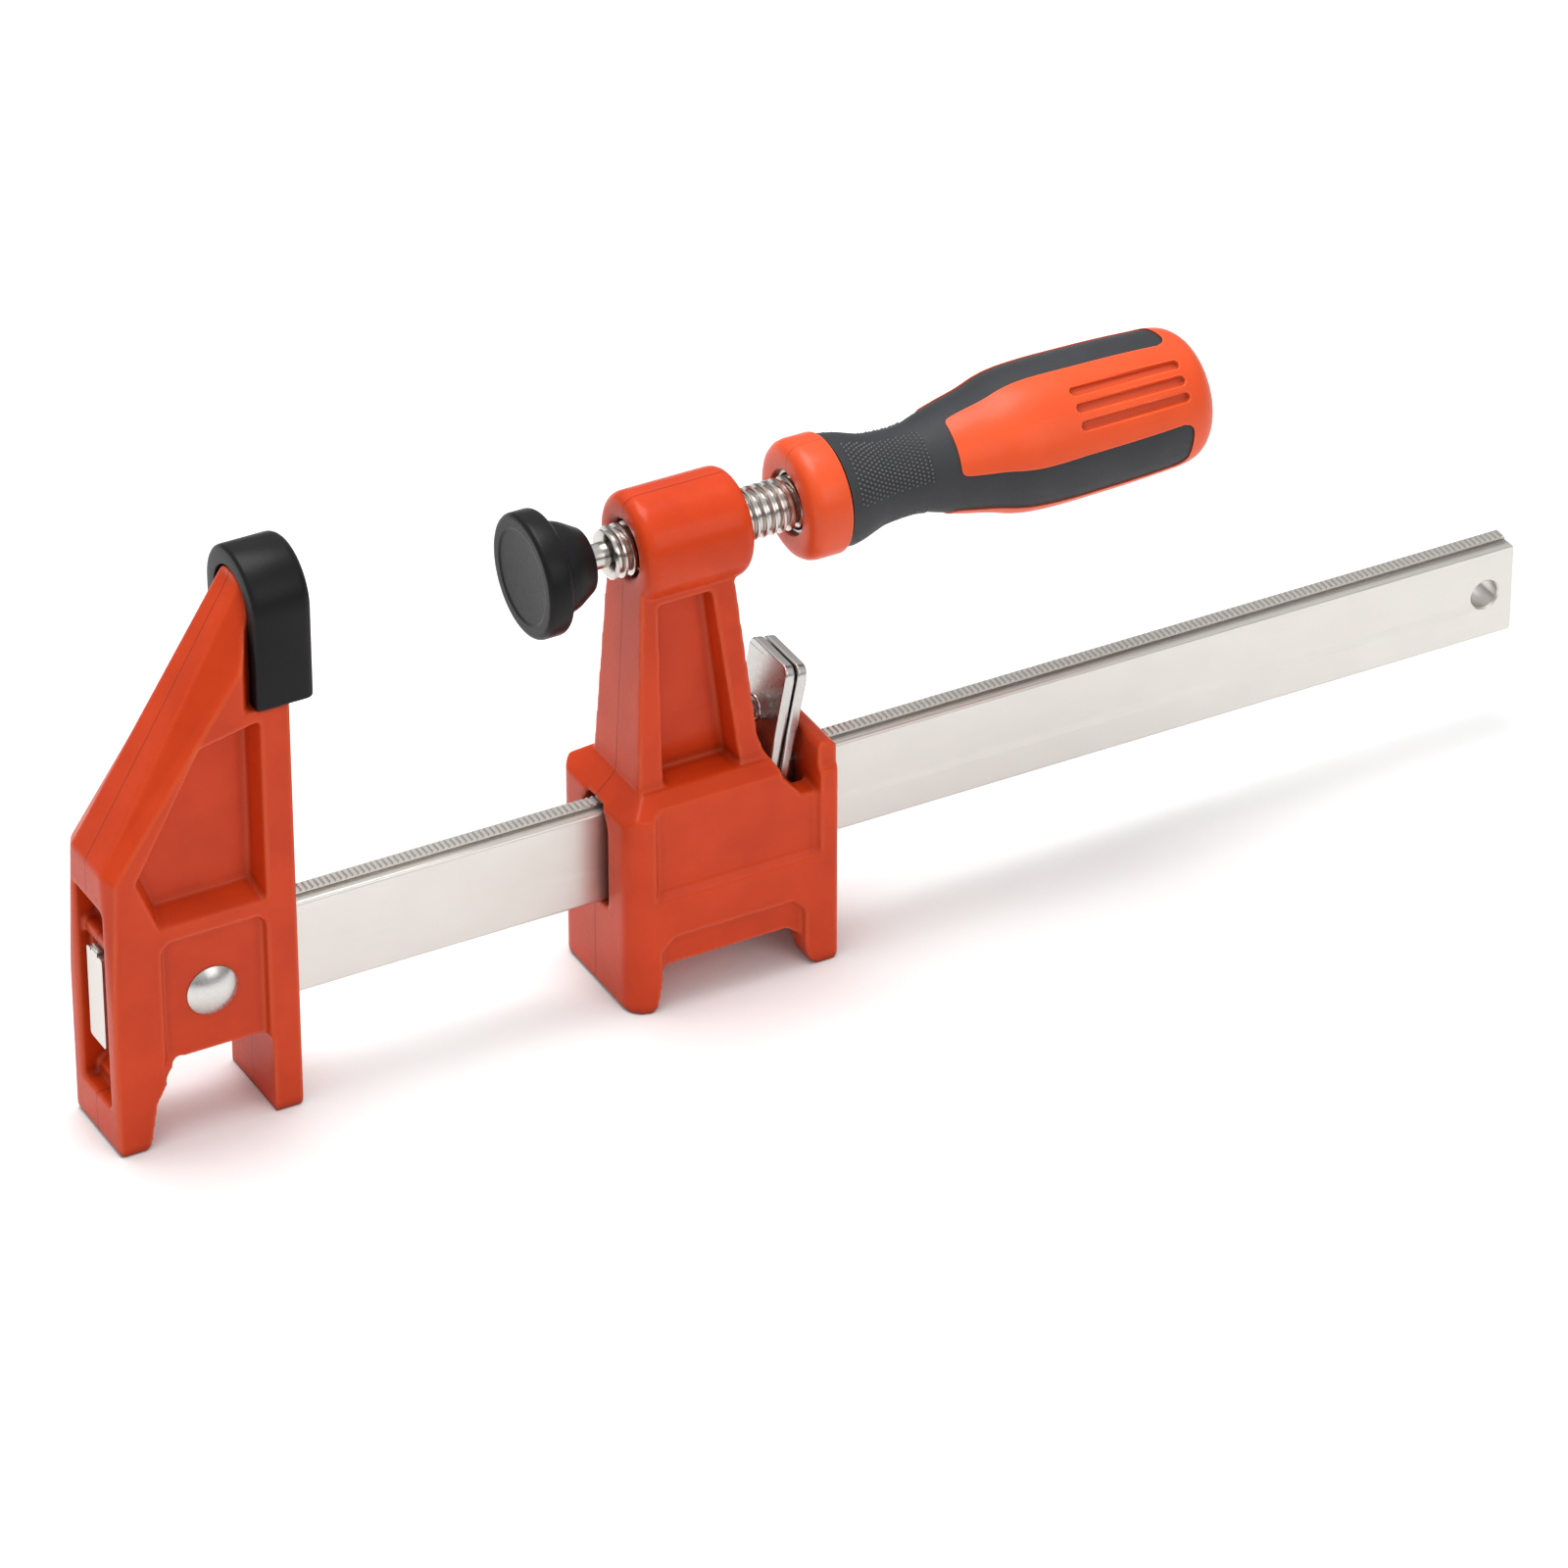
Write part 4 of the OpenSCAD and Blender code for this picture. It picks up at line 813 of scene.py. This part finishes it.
def slot_depth(x, turn):
    """Depth in mm of the finger slots at a place on the skin; turn is in degrees from a strip."""
    deepest = 0.0
    for k in (-1, 0, 1):
        along = max(SLOT_X + SLOT_W / 2 - x, x - (SLOT_X + SLOT_L - SLOT_W / 2), 0)
        across = math.radians(turn - SECTOR_TURN / 2 - k * SLOT_TURN) * radius_at(x)
        t = min(max((SLOT_W / 2 + SLOT_LIP - math.hypot(along, across)) / SLOT_FLANK, 0), 1)
        deepest = max(deepest, SLOT_D * t * t * (3 - 2 * t))
    return deepest


shape, grip_faces, _ = wrapped_grid(drawn_in=0, gap=0)
for v in shape.verts:
    x = (v.co.x - COLLAR_X) / MM
    if SLOT_X - 2 < x < SLOT_X + SLOT_L + 2:
        turn = (math.degrees(math.atan2(-v.co.y, v.co.z - AXIS_Z)) - STRIP_TURN) % SECTOR_TURN
        depth = slot_depth(x, turn)
        if depth > 0:
            draw_in([v], depth)
pushed = extrude(shape, grip_faces)
bmesh.ops.delete(shape, geom=grip_faces, context="FACES_ONLY")
draw_in(pushed, GRIP_T)
neck_x = COLLAR_X + BACK * MM
# the grip's edge at the neck leaves a flat ring, which the cap of the hole would cover twice
neck_wall = [f for f in shape.faces if all(abs(v.co.x - neck_x) < NEAR_NECK * MM for v in f.verts)]
bmesh.ops.delete(shape, geom=neck_wall, context="FACES")
bmesh.ops.remove_doubles(shape, verts=shape.verts, dist=MERGE)
close_holes(shape)
hard_core = make_piece("hard_core", shape, handle_plastic, "screw", "handle_plastic", "handle_core")
round_edges(hard_core, width=0.55, segments=3, angle=40)

# %% The soft grip
BORDER_GAP = 0.08
UNDER_GAP = 0.06

shape, _, core_faces = wrapped_grid(drawn_in=PANEL_RISE, gap=BORDER_GAP)
bmesh.ops.delete(shape, geom=core_faces, context="FACES")
bmesh.ops.remove_doubles(shape, verts=shape.verts, dist=MERGE)
draw_in(extrude(shape, shape.faces[:], keep=True), GRIP_T - PANEL_RISE - UNDER_GAP)
soft_grip = make_piece("soft_grip", shape, grip_rubber, "screw", "grip_rubber", "handle_grip")
round_edges(soft_grip, width=0.3, segments=2, angle=40)

# %% [markdown]
# The neck has a patch of small raised pips before each panel, for the fingertips. One pip is a low
# six-sided dome; the rows wrap round the neck at an even spacing, and every other row is half a step
# on. A bump map would do from afar, but the pips show as bright dots when the light grazes them,
# and their rubber is also painted lighter than the grip's as a painted highlight.

# %% The pips on the neck
PIP_PITCH = 1.15
PIP_R = 0.46
PIP_TOP_R = 0.184
PIP_H = 0.5
PIP_LIFT = 0.1
PATCH_FROM = 14.4
PATCH_TO = 37
PATCH_HALF = 37
NECK_R = 12.6
shape = bmesh.new()
pip_count = 0
pip_step = math.degrees(PIP_PITCH / NECK_R)
for sector in range(STRIPS):
    middle = STRIP_TURN + (sector + 0.5) * SECTOR_TURN
    for i in range(int((PATCH_TO - PATCH_FROM) / PIP_PITCH) + 1):
        x = PATCH_FROM + i * PIP_PITCH
        slope = radius_at(x + 0.5) - radius_at(x - 0.5)
        for j in range(int(2 * PATCH_HALF / pip_step)):
            turn = math.radians(middle - PATCH_HALF + (j + 0.5 * (i % 2)) * pip_step)
            out = Vector((0, -math.sin(turn), math.cos(turn)))
            lean = (out - Vector((slope, 0, 0))).normalized()
            place = lean.to_track_quat("Z", "X").to_matrix().to_4x4()
            place.translation = (Vector((COLLAR_X + x * MM, 0, AXIS_Z))
                                 + out * (radius_at(x) - PANEL_RISE) * MM + lean * PIP_LIFT * MM)
            bmesh.ops.create_cone(shape, cap_ends=True, segments=6, radius1=PIP_R * MM,
                                  radius2=PIP_TOP_R * MM, depth=PIP_H * MM, matrix=place)
            pip_count += 1
make_piece("grip_pips", shape, pip_rubber_painted_highlight, "screw", "grip_rubber", sharp=80)
print("pips:", pip_count)

# %% [markdown]
# ## Hidden steel
# The pad's socket and the retaining ring hardly show, so their CAD nodes stay and get their finish.

# %% Finishes on the CAD nodes that stay
for node in ("pad_socket", "swivel_ring"):
    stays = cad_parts[node]
    stays.data.materials.clear()
    stays.data.materials.append(screw_steel)

# %% [markdown]
# ## The studio
# The photograph is a product shot on seamless white: most light comes from a large box above, a little
# from one in front, with a pale room round them, and the shadows are short and soft.

# %% The floor
FLOOR_HALF = 6

shape = bmesh.new()
bmesh.ops.create_grid(shape, x_segments=1, y_segments=1, size=FLOOR_HALF)
mesh = bpy.data.meshes.new("floor")
shape.to_mesh(mesh)
shape.free()
floor = add_object("floor", mesh)
paper, tree, shader, _ = start_finish("white_paper")
set_inputs(tree, shader, Base_Color=(0.93, 0.93, 0.93, 1), Roughness=0.9, Specular_IOR_Level=0.1)
mesh.materials.append(paper)

# %% The room and the lights
ROOM_STRENGTH = 0.72
ROOM_DARKEST = 0.12

scene = bpy.context.scene
scene.view_settings.view_transform = "Standard"
world = bpy.data.worlds.new("studio")
scene.world = world
world.use_nodes = True
tree = world.node_tree
backdrop = tree.nodes["Background"]
# the room is dark near the floor and pale above, so that steel has something to reflect
up = add_node(tree, "SeparateXYZ", Vector=add_node(tree, "TexCoord").outputs["Generated"])
level = spread(tree, up.outputs["Z"], 0.02, 0.42, ROOM_DARKEST, 1.0)
set_inputs(tree, backdrop, Color=mix_colours(tree, level, (0, 0, 0), (1, 1, 1)), Strength=ROOM_STRENGTH)


def soft_box(name, place, aim, size, power):
    """A square light at place that shines towards aim; lengths in metres, power in watts."""
    light = bpy.data.lights.new(name, "AREA")
    light.shape = "SQUARE"
    light.size = size
    light.energy = power
    box = add_object(name, light)
    box.location = place
    box.rotation_mode = "QUATERNION"
    box.rotation_quaternion = (Vector(aim) - Vector(place)).to_track_quat("-Z", "Y")


soft_box("top_box", place=(-0.15, 0.2, 1.4), aim=(0, 0, 0), size=0.9, power=17)
soft_box("front_box", place=(0.3, -1.3, 0.9), aim=(0, 0, 0.05), size=0.8, power=3.5)

# %% The camera
LENS = 202.5
AZIMUTH = -28.491
ELEVATION = 33.161
DISTANCE = 2.2734
TARGET = Vector((-0.011442, 0, 0.043658))
lens = bpy.data.cameras.new("camera")
lens.lens = LENS
lens.sensor_width = 36
lens.clip_end = 50
camera = add_object("camera", lens)
a, e = math.radians(AZIMUTH), math.radians(ELEVATION)
back = Vector((math.sin(a) * math.cos(e), -math.cos(a) * math.cos(e), math.sin(e)))
camera.location = TARGET + back * DISTANCE
camera.rotation_mode = "QUATERNION"
camera.rotation_quaternion = (-back).to_track_quat("-Z", "Y")
scene.camera = camera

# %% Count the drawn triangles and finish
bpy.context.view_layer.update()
depsgraph = bpy.context.evaluated_depsgraph_get()
for name in ("fixed_casting", "sliding_casting", "hard_core", "soft_grip", "threaded_rod", "grip_pips"):
    drawn = bpy.data.objects[name].evaluated_get(depsgraph).data
    print(name, "is drawn with", sum(len(p.vertices) - 2 for p in drawn.polygons), "triangles")
